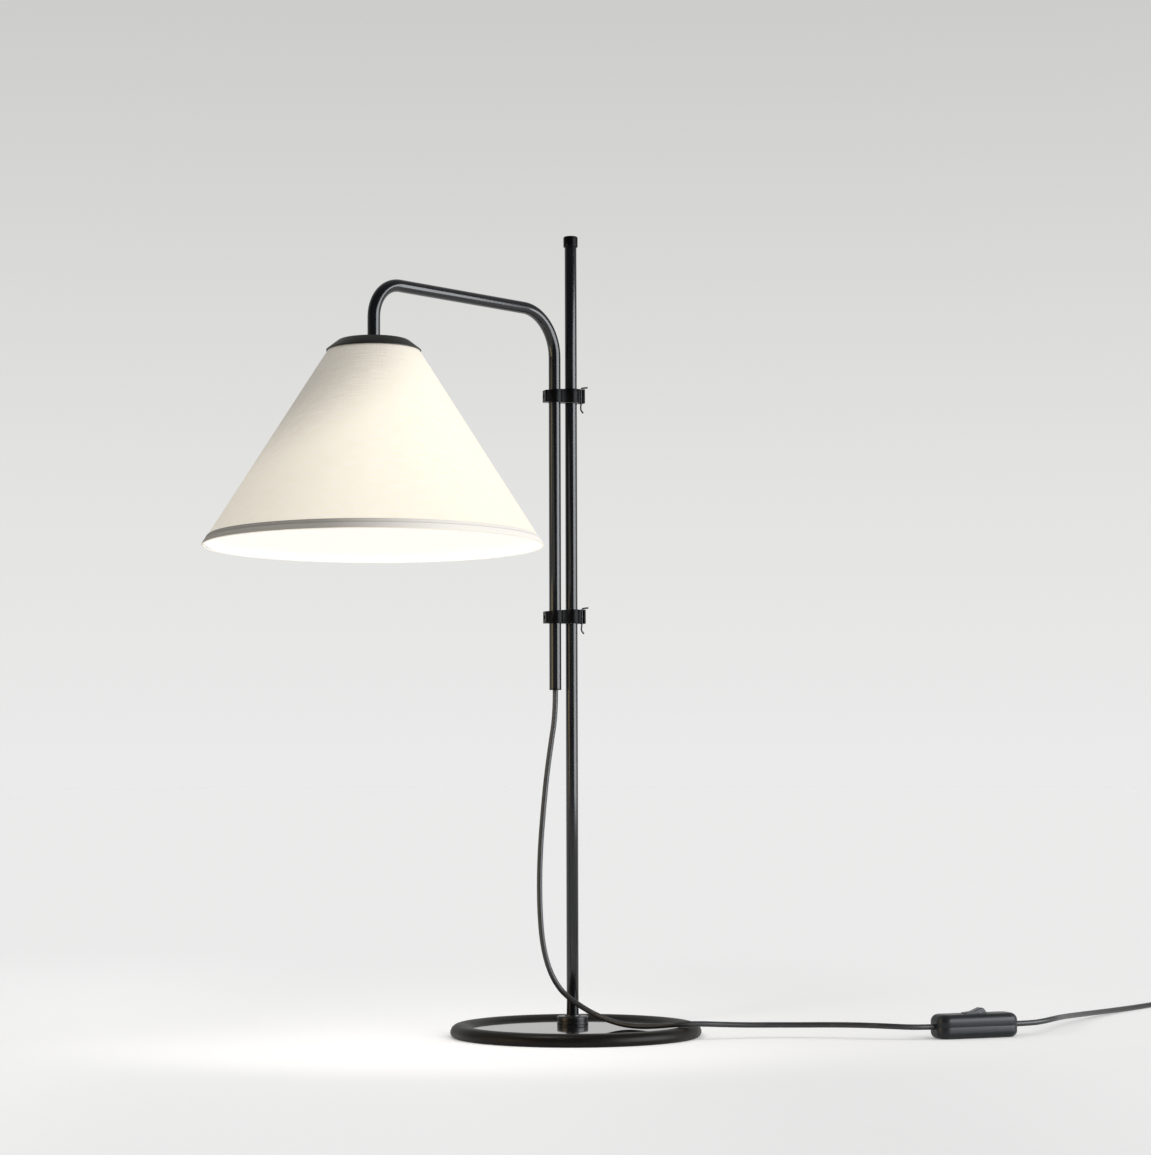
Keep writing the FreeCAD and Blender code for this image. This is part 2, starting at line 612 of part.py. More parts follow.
def build_head_fixing():
    """Threaded nipple and locknut that carry cap and lampholder on the end of the arm tube."""
    nipple = ring("head_nipple", S.nipple_bore, S.nipple_radius, core_top() + S.body_gap,
                  CAP_TOP + S.nipple_engagement)
    node(at_head(nipple), "head_nipple")
    nut = DOCUMENT.addObject("Part::Prism", "locknut_blank")
    nut.Polygon = 6
    bind(nut, "Circumradius", S.locknut_flats / math.sqrt(3))
    bind(nut, "Height", S.locknut_thickness)
    nut_bottom = CAP_TOP - S.sheet_wall - S.locknut_thickness
    place(nut, up=nut_bottom)
    hole = cylinder("locknut_hole", S.nipple_radius + S.running_gap, S.locknut_thickness,
                    up=nut_bottom)
    node(at_head(cut("head_locknut", nut, hole)), "head_locknut")


def build_shade_cap():
    """The pressed cap over the shade's top opening: domed edge, sloped side, small lip."""
    wall = S.sheet_wall
    hole = S.nipple_radius + S.running_gap
    low = CAP_TOP - S.shade_cap_height
    round_edge = S.shade_cap_round
    drop = S.shade_cap_drop
    shoulder = S.shade_cap_radius + S.shade_cap_shoulder
    cap = turned("shade_cap", [
        (hole, CAP_TOP - wall), (S.shade_cap_radius - wall, CAP_TOP - wall),
        (shoulder - wall, CAP_TOP - drop - wall / 2, round_edge - wall / 2),
        (S.shade_cap_lip - wall, low + S.cap_skirt), (S.shade_cap_lip - wall, low),
        (S.shade_cap_lip, low),
        (S.shade_cap_lip, low + wall),
        (shoulder, CAP_TOP - drop), (S.shade_cap_radius, CAP_TOP, -round_edge),
        (hole, CAP_TOP)])
    node(at_head(cap), "shade_cap")


def build_lampholder():
    """Screw-together lampholder with its core, contacts, and the ring that carries the shade."""
    top = holder_top()
    cap_low = top - S.holder_cap_height
    skirt_low = cap_low - S.holder_skirt_length
    wall = S.holder_wall
    neck = S.nipple_radius + S.running_gap
    holder_cap = turned("lampholder_cap", [
        (neck, top), (neck, top - wall * 2),
        (S.holder_radius - wall - S.holder_edge_inset, cap_low + wall * 2),
        (S.holder_radius - wall, cap_low), (S.holder_radius, cap_low),
        (S.holder_radius, cap_low + wall * 2),
        (S.holder_crown_radius, top, S.holder_radius)])
    node(at_head(holder_cap), "lampholder_cap")
    lip = S.bulb_cap_radius + S.skirt_lip_gap
    band_low = cap_low - S.skirt_band_height
    skirt = turned("lampholder_skirt", [
        (lip, skirt_low), (S.holder_radius - S.skirt_end_inset, skirt_low),
        (S.holder_radius - S.skirt_inset, band_low), (S.holder_radius, band_low),
        (S.holder_radius, cap_low), (S.holder_radius - wall, cap_low),
        (S.holder_radius - wall, skirt_low + wall), (lip, skirt_low + wall)])
    node(at_head(skirt), "lampholder_skirt")
    core_low = core_top() - S.core_height
    core = ring("lampholder_core", S.core_bore, S.holder_radius - wall - S.running_gap, core_low,
                core_top())
    node(at_head(core), "lampholder_core")
    thread_bore = S.bulb_cap_radius + S.body_gap
    thread = ring("lampholder_thread", thread_bore, thread_bore + S.thread_wall,
                  skirt_low + wall + S.body_gap, core_low)
    node(at_head(thread), "lampholder_thread")
    contact = ring("lampholder_contact", 0, S.contact_radius, core_low - S.contact_drop, core_low)
    node(at_head(contact), "lampholder_contact")
    return cap_low, core_low


def bulb_side(radius, centre):
    """Where the bulb's round end passes into its straight neck side, for a wall of this radius."""
    return (radius * math.sqrt(1 - BULB_SHOULDER ** 2), centre + radius * BULB_SHOULDER)


def build_bulb(contact_low):
    """Screw-cap lamp: thin threaded cap with its contact tip, and pear-shaped glass."""
    top = contact_low - S.contact_drop - S.running_gap
    cap_low = top - S.bulb_cap_length
    shoulder = top - S.bulb_tip_height
    cap_inner = S.bulb_cap_radius - S.bulb_cap_wall
    cap = turned("bulb_cap", [
        (cap_inner, cap_low), (S.bulb_cap_radius, cap_low), (S.bulb_cap_radius, shoulder),
        (S.bulb_tip_radius, top - S.bulb_cap_wall), (S.bulb_tip_radius, top), (0, top),
        (0, shoulder - S.bulb_cap_wall), (cap_inner, shoulder - S.bulb_cap_wall)])
    node(at_head(cap), "bulb_cap")
    low = top - S.bulb_length
    neck = cap_inner - S.running_gap
    neck_top = cap_low + S.bulb_neck_engagement
    centre = low + S.bulb_radius
    inner_radius = S.bulb_radius - S.glass_wall
    side = bulb_side(S.bulb_radius, centre)
    inner_side = bulb_side(inner_radius, centre)
    glass = turned("bulb_glass", [
        (0, low), (S.bulb_radius, centre, -S.bulb_radius), (side[0], side[1], -S.bulb_radius),
        (neck, cap_low - S.running_gap), (neck, neck_top), (neck - S.glass_wall, neck_top),
        (neck - S.glass_wall, cap_low - S.running_gap), inner_side,
        (inner_radius, centre, inner_radius), (0, low + S.glass_wall, inner_radius)])
    node(at_head(glass), "bulb_glass")


# ---------------------------------------------------------------- shade

def shade_slope():
    """Radius that the shade gains for each millimetre it goes down."""
    return (S.shade_bottom_radius - S.shade_top_radius) / S.shade_height


def shade_lean():
    """Length of the shade's side for each millimetre of its height."""
    slope = shade_slope()
    return Size("sqrt(1 + (%s) ^ 2)" % slope.formula, math.sqrt(1 + slope.number ** 2))


def shade_top():
    """Top edge of the shade, tucked just inside the cap's lip."""
    return CAP_TOP - S.shade_cap_height + S.shade_tuck


def cone_shell(name, outside, thickness, top, bottom):
    """A cone wall between two levels; outside(level) gives its outer radius."""
    return turned(name, [
        (outside(bottom) - thickness, bottom), (outside(bottom), bottom),
        (outside(top), top), (outside(top) - thickness, top)])


def build_shade(holder_joint):
    """Cloth cone with its liner, edge trim, wire hoops, spider and the ring that clamps it."""
    top = shade_top()
    bottom = top - S.shade_height

    def face(level):
        return S.shade_top_radius + shade_slope() * (top - level)

    node(at_head(cone_shell("shade_fabric", face, S.fabric_thickness, top, bottom)),
         "shade_fabric")
    node(at_head(cone_shell("shade_liner", lambda level: face(level) - S.fabric_thickness,
                            S.liner_thickness, top, bottom)), "shade_liner")
    node(at_head(cone_shell("shade_trim", lambda level: face(level) + S.trim_thickness,
                            S.trim_thickness, bottom + S.trim_height, bottom)), "shade_trim")
    skin = S.fabric_thickness + S.liner_thickness
    wire = S.hoop_wire_radius
    low_hoop_level = bottom + wire
    inset = skin + wire * shade_lean() + S.running_gap
    node(at_head(hoop("shade_bottom_hoop", face(low_hoop_level) - inset, wire, low_hoop_level)),
         "shade_bottom_hoop")
    top_hoop_level = top - wire
    top_hoop_radius = face(top_hoop_level) - inset
    hub_level = holder_joint - S.skirt_band_height
    build_spider(top_hoop_radius, top_hoop_level, hub_level)
    clamp_ring = ring("shade_ring", S.holder_radius - S.skirt_inset + S.running_gap,
                      S.holder_radius + S.shade_ring_width,
                      hub_level - S.spider_ring_thickness - S.shade_ring_thickness,
                      hub_level - S.spider_ring_thickness)
    node(at_head(clamp_ring), "shade_ring")


def build_spider(hoop_radius, hoop_level, hub_level):
    """Top hoop, three bars and the centre ring that seats under the lampholder's shoulder."""
    inner = S.holder_radius - S.skirt_inset + S.running_gap
    centre = ring("spider_centre", inner, inner + S.spider_ring_width,
                  hub_level - S.spider_ring_thickness, hub_level)
    top_hoop = hoop("spider_hoop", hoop_radius, S.hoop_wire_radius, hoop_level)
    bar_start = inner + S.spider_ring_width - S.spider_bar_overlap
    bar_low = hub_level - S.spider_ring_thickness / 2
    run = (hoop_radius - bar_start).number
    rise = (hoop_level - bar_low).number
    parts = [centre, top_hoop]
    for step in range(SPIDER_BARS):
        angle = math.pi / 2 + 2 * math.pi * step / SPIDER_BARS
        outward = FreeCAD.Vector(math.cos(angle), math.sin(angle), 0)
        direction = outward * run + UP * rise
        bar = DOCUMENT.addObject("Part::Cylinder", "spider_bar_%d" % step)
        bind(bar, "Radius", S.spider_bar_radius)
        bar.Height = direction.Length
        start = outward * bar_start.number + UP * bar_low.number
        bar.Placement = FreeCAD.Placement(start, FreeCAD.Rotation(UP, direction))
        parts.append(bar)
    node(at_head(fuse("shade_spider", *parts)), "shade_spider")


# ---------------------------------------------------------------- mains lead

# The free lead's chosen points: down from the arm tube, round the front of the post, over the
# disc and the rim to the switch; then from the switch along the floor to the coil.
HANGING_POINTS = [
    (8.6, 35.0, 236.0), (3.4, 35.2, 209.0), (-1.1, 34.6, 182.0), (-5.2, 33.9, 154.2),
    (-8.4, 32.3, 127.3), (-10.0, 29.6, 99.7), (-9.9, 26.4, 74.5), (-6.1, 22.3, 53.4),
    (0.1, 16.9, 37.9), (6.2, 8.7, 28.2), (11.0, -5.6, 18.9), (15.2, -19.2, 13.4),
    (18.6, -35.0, 9.8), (19.0, -53.0, 9.3), (20.4, -71.0, 10.7), (26.0, -88.0, 12.8),
    (41.0, -98.4, 12.6), (58.0, -108.5, 11.8), (74.4, -119.5, 11.1), (89.4, -132.0, 10.5),
    (105.0, -147.6, 10.0), (117.6, -167.4, 9.8), (127.5, -189.8, 9.7), (137.0, -211.5, 9.6)]
FLOOR_POINTS = [
    (259.2, -280.2, 9.4), (274.4, -279.6, 8.8), (293.5, -272.8, 7.6), (320.0, -261.5, 6.1),
    (353.0, -249.5, 4.5), (389.5, -238.0, 3.2), (427.0, -227.5, 2.5), (464.4, -219.0, 2.25),
    (502.0, -212.0, 2.25), (541.0, -206.6, 2.25)]
TAIL_POINT = (587.0, -260.0, 7.2)


def lead_radii(name, points):
    """The largest tangent arcs that the runs allow; the smallest one is printed."""
    radii = []
    for before, corner, after in zip(points, points[1:], points[2:]):
        turn = math.pi - (before - corner).getAngle(after - corner)
        shorter = min((before - corner).Length, (after - corner).Length)
        radii.append(ARC_SHARE * shorter / math.tan(turn / 2))
    print("%s: %d runs, bend radii %s mm" % (
        name, len(points) - 1, " ".join("%.0f" % radius for radius in radii)))
    return radii


def build_lead(name, points):
    """One free stretch of the mains lead along its points; its length is printed."""
    solid, length = pipe(route_edges(points, lead_radii(name, points)), S.cord_radius.number)
    shaped(name, solid)
    print("%s: %.1f mm long" % (name, length))


def switch_point(along):
    """A point on the switch's axis, measured from the middle of the switch."""
    heading = math.radians(S.switch_heading.number)
    middle = FreeCAD.Vector(S.switch_middle_across.number, S.switch_middle_back.number,
                            S.switch_seam.number)
    return middle + FreeCAD.Vector(math.cos(heading), math.sin(heading), 0) * along


def build_free_leads():
    """The three free stretches, each starting and ending square to what it meets."""
    exit_run = S.lead_exit_run.number
    outlet = ARM_AXIS + UP * (S.arm_bottom.number - S.end_bush_lip.number)
    near_switch = (S.switch_length / 2 + S.switch_exit_run).number
    in_switch = (S.switch_length / 2 - S.lead_entry).number
    hanging = [outlet, outlet - UP * exit_run]
    hanging += [FreeCAD.Vector(*point) for point in HANGING_POINTS]
    hanging += [switch_point(-near_switch), switch_point(-in_switch)]
    build_lead("mains_lead_hanging", hanging)
    coil_start, coil_end = build_coil()
    forward = coil_frame()[1]
    floor = [switch_point(in_switch), switch_point(near_switch)]
    floor += [FreeCAD.Vector(*point) for point in FLOOR_POINTS]
    floor += [coil_start - forward * exit_run, coil_start]
    build_lead("mains_lead_floor", floor)
    plug_start = FreeCAD.Vector(S.plug_across.number, S.plug_back.number,
                                S.plug_height.number / 2)
    heading = math.radians(S.plug_heading.number)
    plug_way = FreeCAD.Vector(math.cos(heading), math.sin(heading), 0)
    tail = [coil_end, FreeCAD.Vector(*TAIL_POINT),
            plug_start - plug_way * S.plug_exit_run.number, plug_start]
    build_lead("mains_lead_tail", tail)
    build_plug(plug_start, plug_way)


def coil_frame():
    """Middle of the coil, the direction in which the lead enters it, and the entry's side."""
    heading = math.radians(S.coil_heading.number)
    forward = FreeCAD.Vector(math.cos(heading), math.sin(heading), 0)
    outward = FreeCAD.Vector(-forward.y, forward.x, 0)
    middle = FreeCAD.Vector(S.coil_across.number, S.coil_back.number, S.cord_radius.number)
    return middle, forward, outward


def coil_edges():
    """Clockwise half turns: in on the floor, up a layer in the innermost one, and out again."""
    middle, forward, outward = coil_frame()
    step = S.coil_pitch.number / 2
    rise = UP * S.coil_layer_rise.number
    here = middle + outward * S.coil_outer_radius.number
    end_run = 2 * S.cord_radius.number
    edges = [Part.LineSegment(here - forward * end_run, here).toShape()]
    side, heading = outward, forward
    radius = S.coil_outer_radius.number
    for index in range(2 * HALF_TURNS + 1):
        climbing = index == HALF_TURNS
        there = here - side * (2 * radius) + (rise if climbing else FreeCAD.Vector())
        centre = (here + there) * 0.5
        reach = (here - centre).Length
        edges.append(Part.Arc(here, centre + heading * reach, there).toShape())
        here, side, heading = there, side * -1, heading * -1
        radius += -step if index < HALF_TURNS else step
    edges.append(Part.LineSegment(here, here + heading * end_run).toShape())
    return edges


def coil_gap(edges):
    """Least clear gap between the coil's turns, measured on points a quarter turn or more apart."""
    places = []
    travelled = 0.0
    for edge in edges:
        count = max(int(edge.Length / COIL_SAMPLE), 2)
        for step in range(count):
            share = step / count
            value = edge.FirstParameter + share * (edge.LastParameter - edge.FirstParameter)
            places.append((travelled + share * edge.Length, edge.valueAt(value)))
        travelled += edge.Length
    apart = S.coil_outer_radius.number
    nearest = min((a - b).Length for i, (here, a) in enumerate(places)
                  for there, b in places[i + 1:] if there - here > apart)
    return nearest - 2 * S.cord_radius.number


def build_coil():
    """The put-away length, wound in two layers with its ends on opposite sides."""
    edges = coil_edges()
    solid, length = pipe(edges, S.cord_radius.number)
    shaped("mains_lead_coil", solid)
    print("mains_lead_coil: %.1f mm long, least gap %.2f mm" % (length, coil_gap(edges)))
    start = edges[0].valueAt(edges[0].FirstParameter)
    end = edges[-1].valueAt(edges[-1].LastParameter)
    return start, end


# ---------------------------------------------------------------- switch on the lead

def switch_placement():
    """The switch lies on the floor with its long side along the lead."""
    return (S.switch_middle_across, S.switch_middle_back,
            FreeCAD.Rotation(UP, S.switch_heading.number))


def switch_plan(length, width):
    """Outline of a housing half from above, with fully rounded ends."""
    half_length, half_width = length / 2, width / 2
    corner = S.switch_corner
    return [
        (-half_length, -(half_width - corner)),
        (-(half_length - corner), -half_width, -corner),
        (half_length - corner, -half_width),
        (half_length, -(half_width - corner), -corner),
        (half_length, half_width - corner),
        (half_length - corner, half_width, -corner),
        (-(half_length - corner), half_width),
        (-half_length, half_width - corner, -corner)]


def rounded_edges(body, name, radius, wanted):
    """Round the edges of the body's tip that the test picks."""
    DOCUMENT.recompute()
    before = body.Tip
    names = ["Edge%d" % (i + 1) for i, edge in enumerate(before.Shape.Edges) if wanted(edge)]
    fillet = body.newObject("PartDesign::Fillet", name)
    fillet.Base = (before, names)
    bind(fillet, "Radius", radius)
    body.Tip = fillet
    return body


def build_switch():
    """Rocker switch in the lead: two hollow halves, contact block, rocker and screws."""
    across, back, rotation = switch_placement()
    length, width = S.switch_length, S.switch_width
    upper_height = S.switch_height - S.switch_seam
    lower = padded("switch_lower_plan", switch_plan(length, width), S.switch_seam)
    rounded_edges(lower, "switch_lower_round", S.switch_low_round,
                  lambda edge: edge.BoundBox.ZMax < 0.01)
    upper = padded("switch_upper_plan", switch_plan(length, width), upper_height)
    rounded_edges(upper, "switch_upper_round", S.switch_top_round,
                  lambda edge: edge.BoundBox.ZMin > upper_height.number - 0.01)
    inside_length = length - 2 * S.switch_end_solid
    inside_width = width - 2 * S.switch_side_solid
    lower_room = box("switch_lower_room", inside_length, inside_width,
                     S.switch_seam - S.switch_wall,
                     -(inside_length / 2), -(inside_width / 2), S.switch_wall)
    upper_room = box("switch_upper_room", inside_length, inside_width,
                     upper_height - S.switch_roof, -(inside_length / 2),
                     -(inside_width / 2), 0)
    quarter = FreeCAD.Rotation(FreeCAD.Vector(0, 1, 0), 90)
    lower_way = cylinder("switch_lower_way", S.cord_radius + S.running_gap, length, -(length / 2),
                         0, S.switch_seam, quarter)
    upper_way = cylinder("switch_upper_way", S.cord_radius + S.running_gap, length, -(length / 2),
                         0, 0, quarter)
    window_half = S.rocker_radius + S.body_gap
    window = box("switch_window", 2 * window_half, S.rocker_width + 2 * S.body_gap, upper_height,
                 -window_half, -(S.rocker_width / 2 + S.body_gap), 0)
    pin_way_half = S.rocker_width / 2 + S.rocker_pin_reach + S.body_gap
    pin_way = cylinder("switch_pin_way", S.rocker_pin_radius + S.running_gap,
                       2 * pin_way_half, 0, -pin_way_half, S.rocker_pin_level,
                       FreeCAD.Rotation(FreeCAD.Vector(1, 0, 0), -90))
    lower_cut = cut("switch_lower_shell", lower, lower_room, lower_way)
    upper_cut = cut("switch_upper_shell", upper, upper_room, upper_way, window, pin_way)
    node(place(lower_cut, across, back, 0, rotation), "switch_lower_shell")
    node(place(upper_cut, across, back, S.switch_seam, rotation), "switch_upper_shell")
    block_length = 2 * (S.rocker_radius + S.contact_block_margin)
    block = box("switch_contact_block", block_length, inside_width - 2 * S.body_gap,
                S.switch_seam - S.switch_wall - S.contact_block_gap)
    offset = rotation.multVec(FreeCAD.Vector(
        -block_length.number / 2, -(inside_width.number / 2 - S.body_gap.number), 0))
    node(place(block, across + offset.x, back + offset.y, S.switch_wall, rotation),
         "switch_contact_block")
    build_rocker(across, back, rotation)


def build_rocker(across, back, rotation):
    """The rocker at its rest stop, its far end up: round ends about the pin, a dished top."""
    radius = S.rocker_radius
    end_level = S.switch_height - S.switch_seam - S.rocker_pin_level + S.rocker_rise
    end_reach = math.sqrt(radius.number ** 2 - end_level.number ** 2)
    end_across = Size("sqrt((%s) ^ 2 - (%s) ^ 2)" % (radius.formula, end_level.formula), end_reach)
    foot_reach = math.sqrt(radius.number ** 2 - S.rocker_depth.number ** 2)
    foot_across = Size("sqrt((%s) ^ 2 - (%s) ^ 2)" % (radius.formula, S.rocker_depth.formula),
                       foot_reach)
    body = DOCUMENT.addObject("PartDesign::Body", "rocker_body")
    sketch = outline(body, "XZ_Plane", [
        (-foot_across, -S.rocker_depth, -radius), (foot_across, -S.rocker_depth),
        (end_across, end_level, -radius), (0, end_level - S.rocker_dish),
        (-end_across, end_level)])
    pad = body.newObject("PartDesign::Pad", "rocker_pad")
    pad.Profile = sketch
    bind(pad, "Length", S.rocker_width)
    pad.Midplane = True
    pin_length = S.rocker_width + 2 * S.rocker_pin_reach
    pin = cylinder("rocker_pin", S.rocker_pin_radius, pin_length, 0, -(pin_length / 2), 0,
                   FreeCAD.Rotation(FreeCAD.Vector(1, 0, 0), -90))
    rocker = fuse("switch_rocker", body, pin)
    tilt = FreeCAD.Rotation(FreeCAD.Vector(0, 1, 0), -S.rocker_tilt.number)
    pin_height = S.switch_seam + S.rocker_pin_level
    node(place(rocker, across, back, pin_height, rotation.multiply(tilt)), "switch_rocker")


# ---------------------------------------------------------------- mains plug

def build_plug(start, forward):
    """Moulded two-pin plug lying on the floor: tapered strain relief, body and round pins."""
    lay = FreeCAD.Rotation(UP, forward)
    flat = FreeCAD.Rotation(UP, S.plug_heading.number)
    across = S.plug_across
    back = S.plug_back
    axis_level = S.plug_height / 2
    relief = turned("plug_strain_relief", [
        (0, 0), (S.cord_radius + S.relief_wall, 0),
        (S.plug_relief_radius, S.plug_relief_length),
        (0, S.plug_relief_length)])
    node(place(relief, across, back, axis_level, lay), "plug_strain_relief")
    half = S.plug_width / 2
    shoulder = S.plug_relief_radius + S.plug_neck_margin
    taper = S.plug_relief_length + S.plug_taper_length
    far = S.plug_relief_length + S.plug_length
    body = padded("plug_plan", [
        (S.plug_relief_length, -shoulder), (taper, -half), (far, -half), (far, half),
        (taper, half), (S.plug_relief_length, shoulder)], S.plug_height)
    rounded_edges(body, "plug_round", S.plug_round, lambda edge: (
        edge.BoundBox.ZLength < 0.01 and edge.BoundBox.XLength > 0.01))
    node(place(body, across, back, 0, flat), "plug_body")
    pins = []
    for side in (-1, 1):
        pin = Part.makeCylinder(
            S.plug_pin_radius.number, S.pin_length.number,
            FreeCAD.Vector(far.number, side * S.pin_spread.number / 2, axis_level.number),
            FreeCAD.Vector(1, 0, 0))
        tips = [edge for edge in pin.Edges
                if edge.Closed and edge.CenterOfMass.x > far.number + S.pin_length.number / 2]
        pins.append(pin.makeFillet(S.pin_tip_round.number, tips))
    shaped("plug_pins", Part.makeCompound(pins), FreeCAD.Placement(
        FreeCAD.Vector(across.number, back.number, 0), flat))


# ---------------------------------------------------------------- checks and files

def check_and_write():
    """Refuse a failed or broken object, then write one STEP file for each piece."""
    DOCUMENT.recompute()
    for item in DOCUMENT.Objects:
        if {"Invalid", "Error"} & set(item.State):
            raise RuntimeError("%s failed to recompute" % item.Name)
    os.makedirs("parts", exist_ok=True)
    for item in NODES:
        shape = item.Shape
        if shape.isNull() or not shape.isValid() or shape.Volume <= 0:
            raise RuntimeError("%s has no valid solid" % item.Label)
        shape.exportStep("parts/%s.step" % item.Label)
    print("%d pieces written" % len(NODES))


def main():
    build_base()
    build_post()
    clamp("upper", S.upper_clamp_bottom)
    clamp("lower", S.lower_clamp_bottom)
    build_head_fixing()
    build_shade_cap()
    holder_joint, core_low = build_lampholder()
    build_bulb(core_low)
    build_shade(holder_joint)
    build_arm_tube()
    build_switch()
    build_free_leads()
    check_and_write()


main()
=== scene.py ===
"""Looks of the two-tube table lamp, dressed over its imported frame.

Every length is in metres in the frame's own axes: +Z up, the origin on the floor under the middle
of the base, the arm pointing along -X. Sub-assemblies are classes that model their pieces with
bmesh operators and dress them; finishes are small classes that build one procedural material each.
"""

import json
import logging
import math
from dataclasses import dataclass, field
from enum import Enum
from typing import Any, Iterable, Optional, Sequence, Union

import bmesh
import bpy
from mathutils import Matrix, Vector

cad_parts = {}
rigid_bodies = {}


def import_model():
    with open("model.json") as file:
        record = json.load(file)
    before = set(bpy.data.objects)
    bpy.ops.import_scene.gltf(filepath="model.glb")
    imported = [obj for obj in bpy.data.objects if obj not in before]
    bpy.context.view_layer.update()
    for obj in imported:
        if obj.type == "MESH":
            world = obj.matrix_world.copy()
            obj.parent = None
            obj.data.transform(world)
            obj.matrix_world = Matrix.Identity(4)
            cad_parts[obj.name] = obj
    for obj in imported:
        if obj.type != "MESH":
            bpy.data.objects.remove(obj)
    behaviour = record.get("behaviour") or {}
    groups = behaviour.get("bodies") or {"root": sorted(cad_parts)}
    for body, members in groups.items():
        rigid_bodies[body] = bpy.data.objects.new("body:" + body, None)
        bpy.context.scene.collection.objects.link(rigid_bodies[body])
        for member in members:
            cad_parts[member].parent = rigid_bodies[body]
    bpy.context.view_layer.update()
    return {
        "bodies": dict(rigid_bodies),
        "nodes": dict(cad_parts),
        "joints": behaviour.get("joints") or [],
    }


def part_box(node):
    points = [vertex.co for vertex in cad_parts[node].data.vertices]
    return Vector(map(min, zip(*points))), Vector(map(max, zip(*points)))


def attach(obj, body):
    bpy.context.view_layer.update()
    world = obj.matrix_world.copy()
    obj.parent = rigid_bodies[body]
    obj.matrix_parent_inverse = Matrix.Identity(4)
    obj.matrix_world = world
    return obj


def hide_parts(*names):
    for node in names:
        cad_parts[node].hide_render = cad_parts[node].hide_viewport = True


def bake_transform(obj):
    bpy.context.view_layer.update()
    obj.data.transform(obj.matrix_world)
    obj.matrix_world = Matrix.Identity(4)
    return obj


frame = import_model()
LOG = logging.getLogger("table_lamp")
MM = 0.001
Colour = tuple[float, float, float]
Profile = Sequence[tuple[float, float]]


class Body(Enum):
    """The rigid bodies that pieces ride on."""

    STAND = "stand"
    CARRIAGE = "carriage"
    ARM = "arm"
    UPPER_RELEASE = "upper_release"
    LOWER_RELEASE = "lower_release"
    ROCKER = "rocker"


class Seen(Enum):
    """The rays that may see a lamp or a backdrop."""

    SHINE = "shine"
    DIFFUSE = "diffuse"


# ---------------------------------------------------------------- shader arithmetic

Number = Union[float, "Channel"]


class Channel:
    """One number of a shader tree that takes part in Python arithmetic."""

    def __init__(self, shader: "Shader", socket: bpy.types.NodeSocket) -> None:
        """Keep the tree and the output socket that holds the number."""
        self.shader = shader
        self.socket = socket

    def maths(self, operation: str, first: Number, second: Number = 0.0) -> "Channel":
        """Add a Math node.

        Args:
            operation: the node's operation.
            first: its first number.
            second: its second number.

        Returns:
            The result.
        """
        node = self.shader.node("ShaderNodeMath", {"operation": operation},
                                {0: first, 1: second})
        return Channel(self.shader, node.outputs[0])

    def __add__(self, other: Number) -> "Channel":
        """Sum."""
        return self.maths("ADD", self, other)

    def __radd__(self, other: Number) -> "Channel":
        """Sum with the channel on the right."""
        return self.maths("ADD", other, self)

    def __sub__(self, other: Number) -> "Channel":
        """Difference."""
        return self.maths("SUBTRACT", self, other)

    def __rsub__(self, other: Number) -> "Channel":
        """Difference with the channel on the right."""
        return self.maths("SUBTRACT", other, self)

    def __mul__(self, other: Number) -> "Channel":
        """Product."""
        return self.maths("MULTIPLY", self, other)

    def __rmul__(self, other: Number) -> "Channel":
        """Product with the channel on the right."""
        return self.maths("MULTIPLY", other, self)

    def __truediv__(self, other: Number) -> "Channel":
        """Quotient."""
        return self.maths("DIVIDE", self, other)

    def sine(self) -> "Channel":
        """Sine of the angle in radians."""
        return self.maths("SINE", self)

    def size(self) -> "Channel":
        """Value without its sign."""
        return self.maths("ABSOLUTE", self)

    def between(self, low: float, high: float) -> "Channel":
        """Smooth step from 0 at the low number to 1 at the high one."""
        node = self.shader.node("ShaderNodeMapRange", {"interpolation_type": "SMOOTHSTEP"},
                                {"Value": self, "From Min": low, "From Max": high})
        return Channel(self.shader, node.outputs[0])


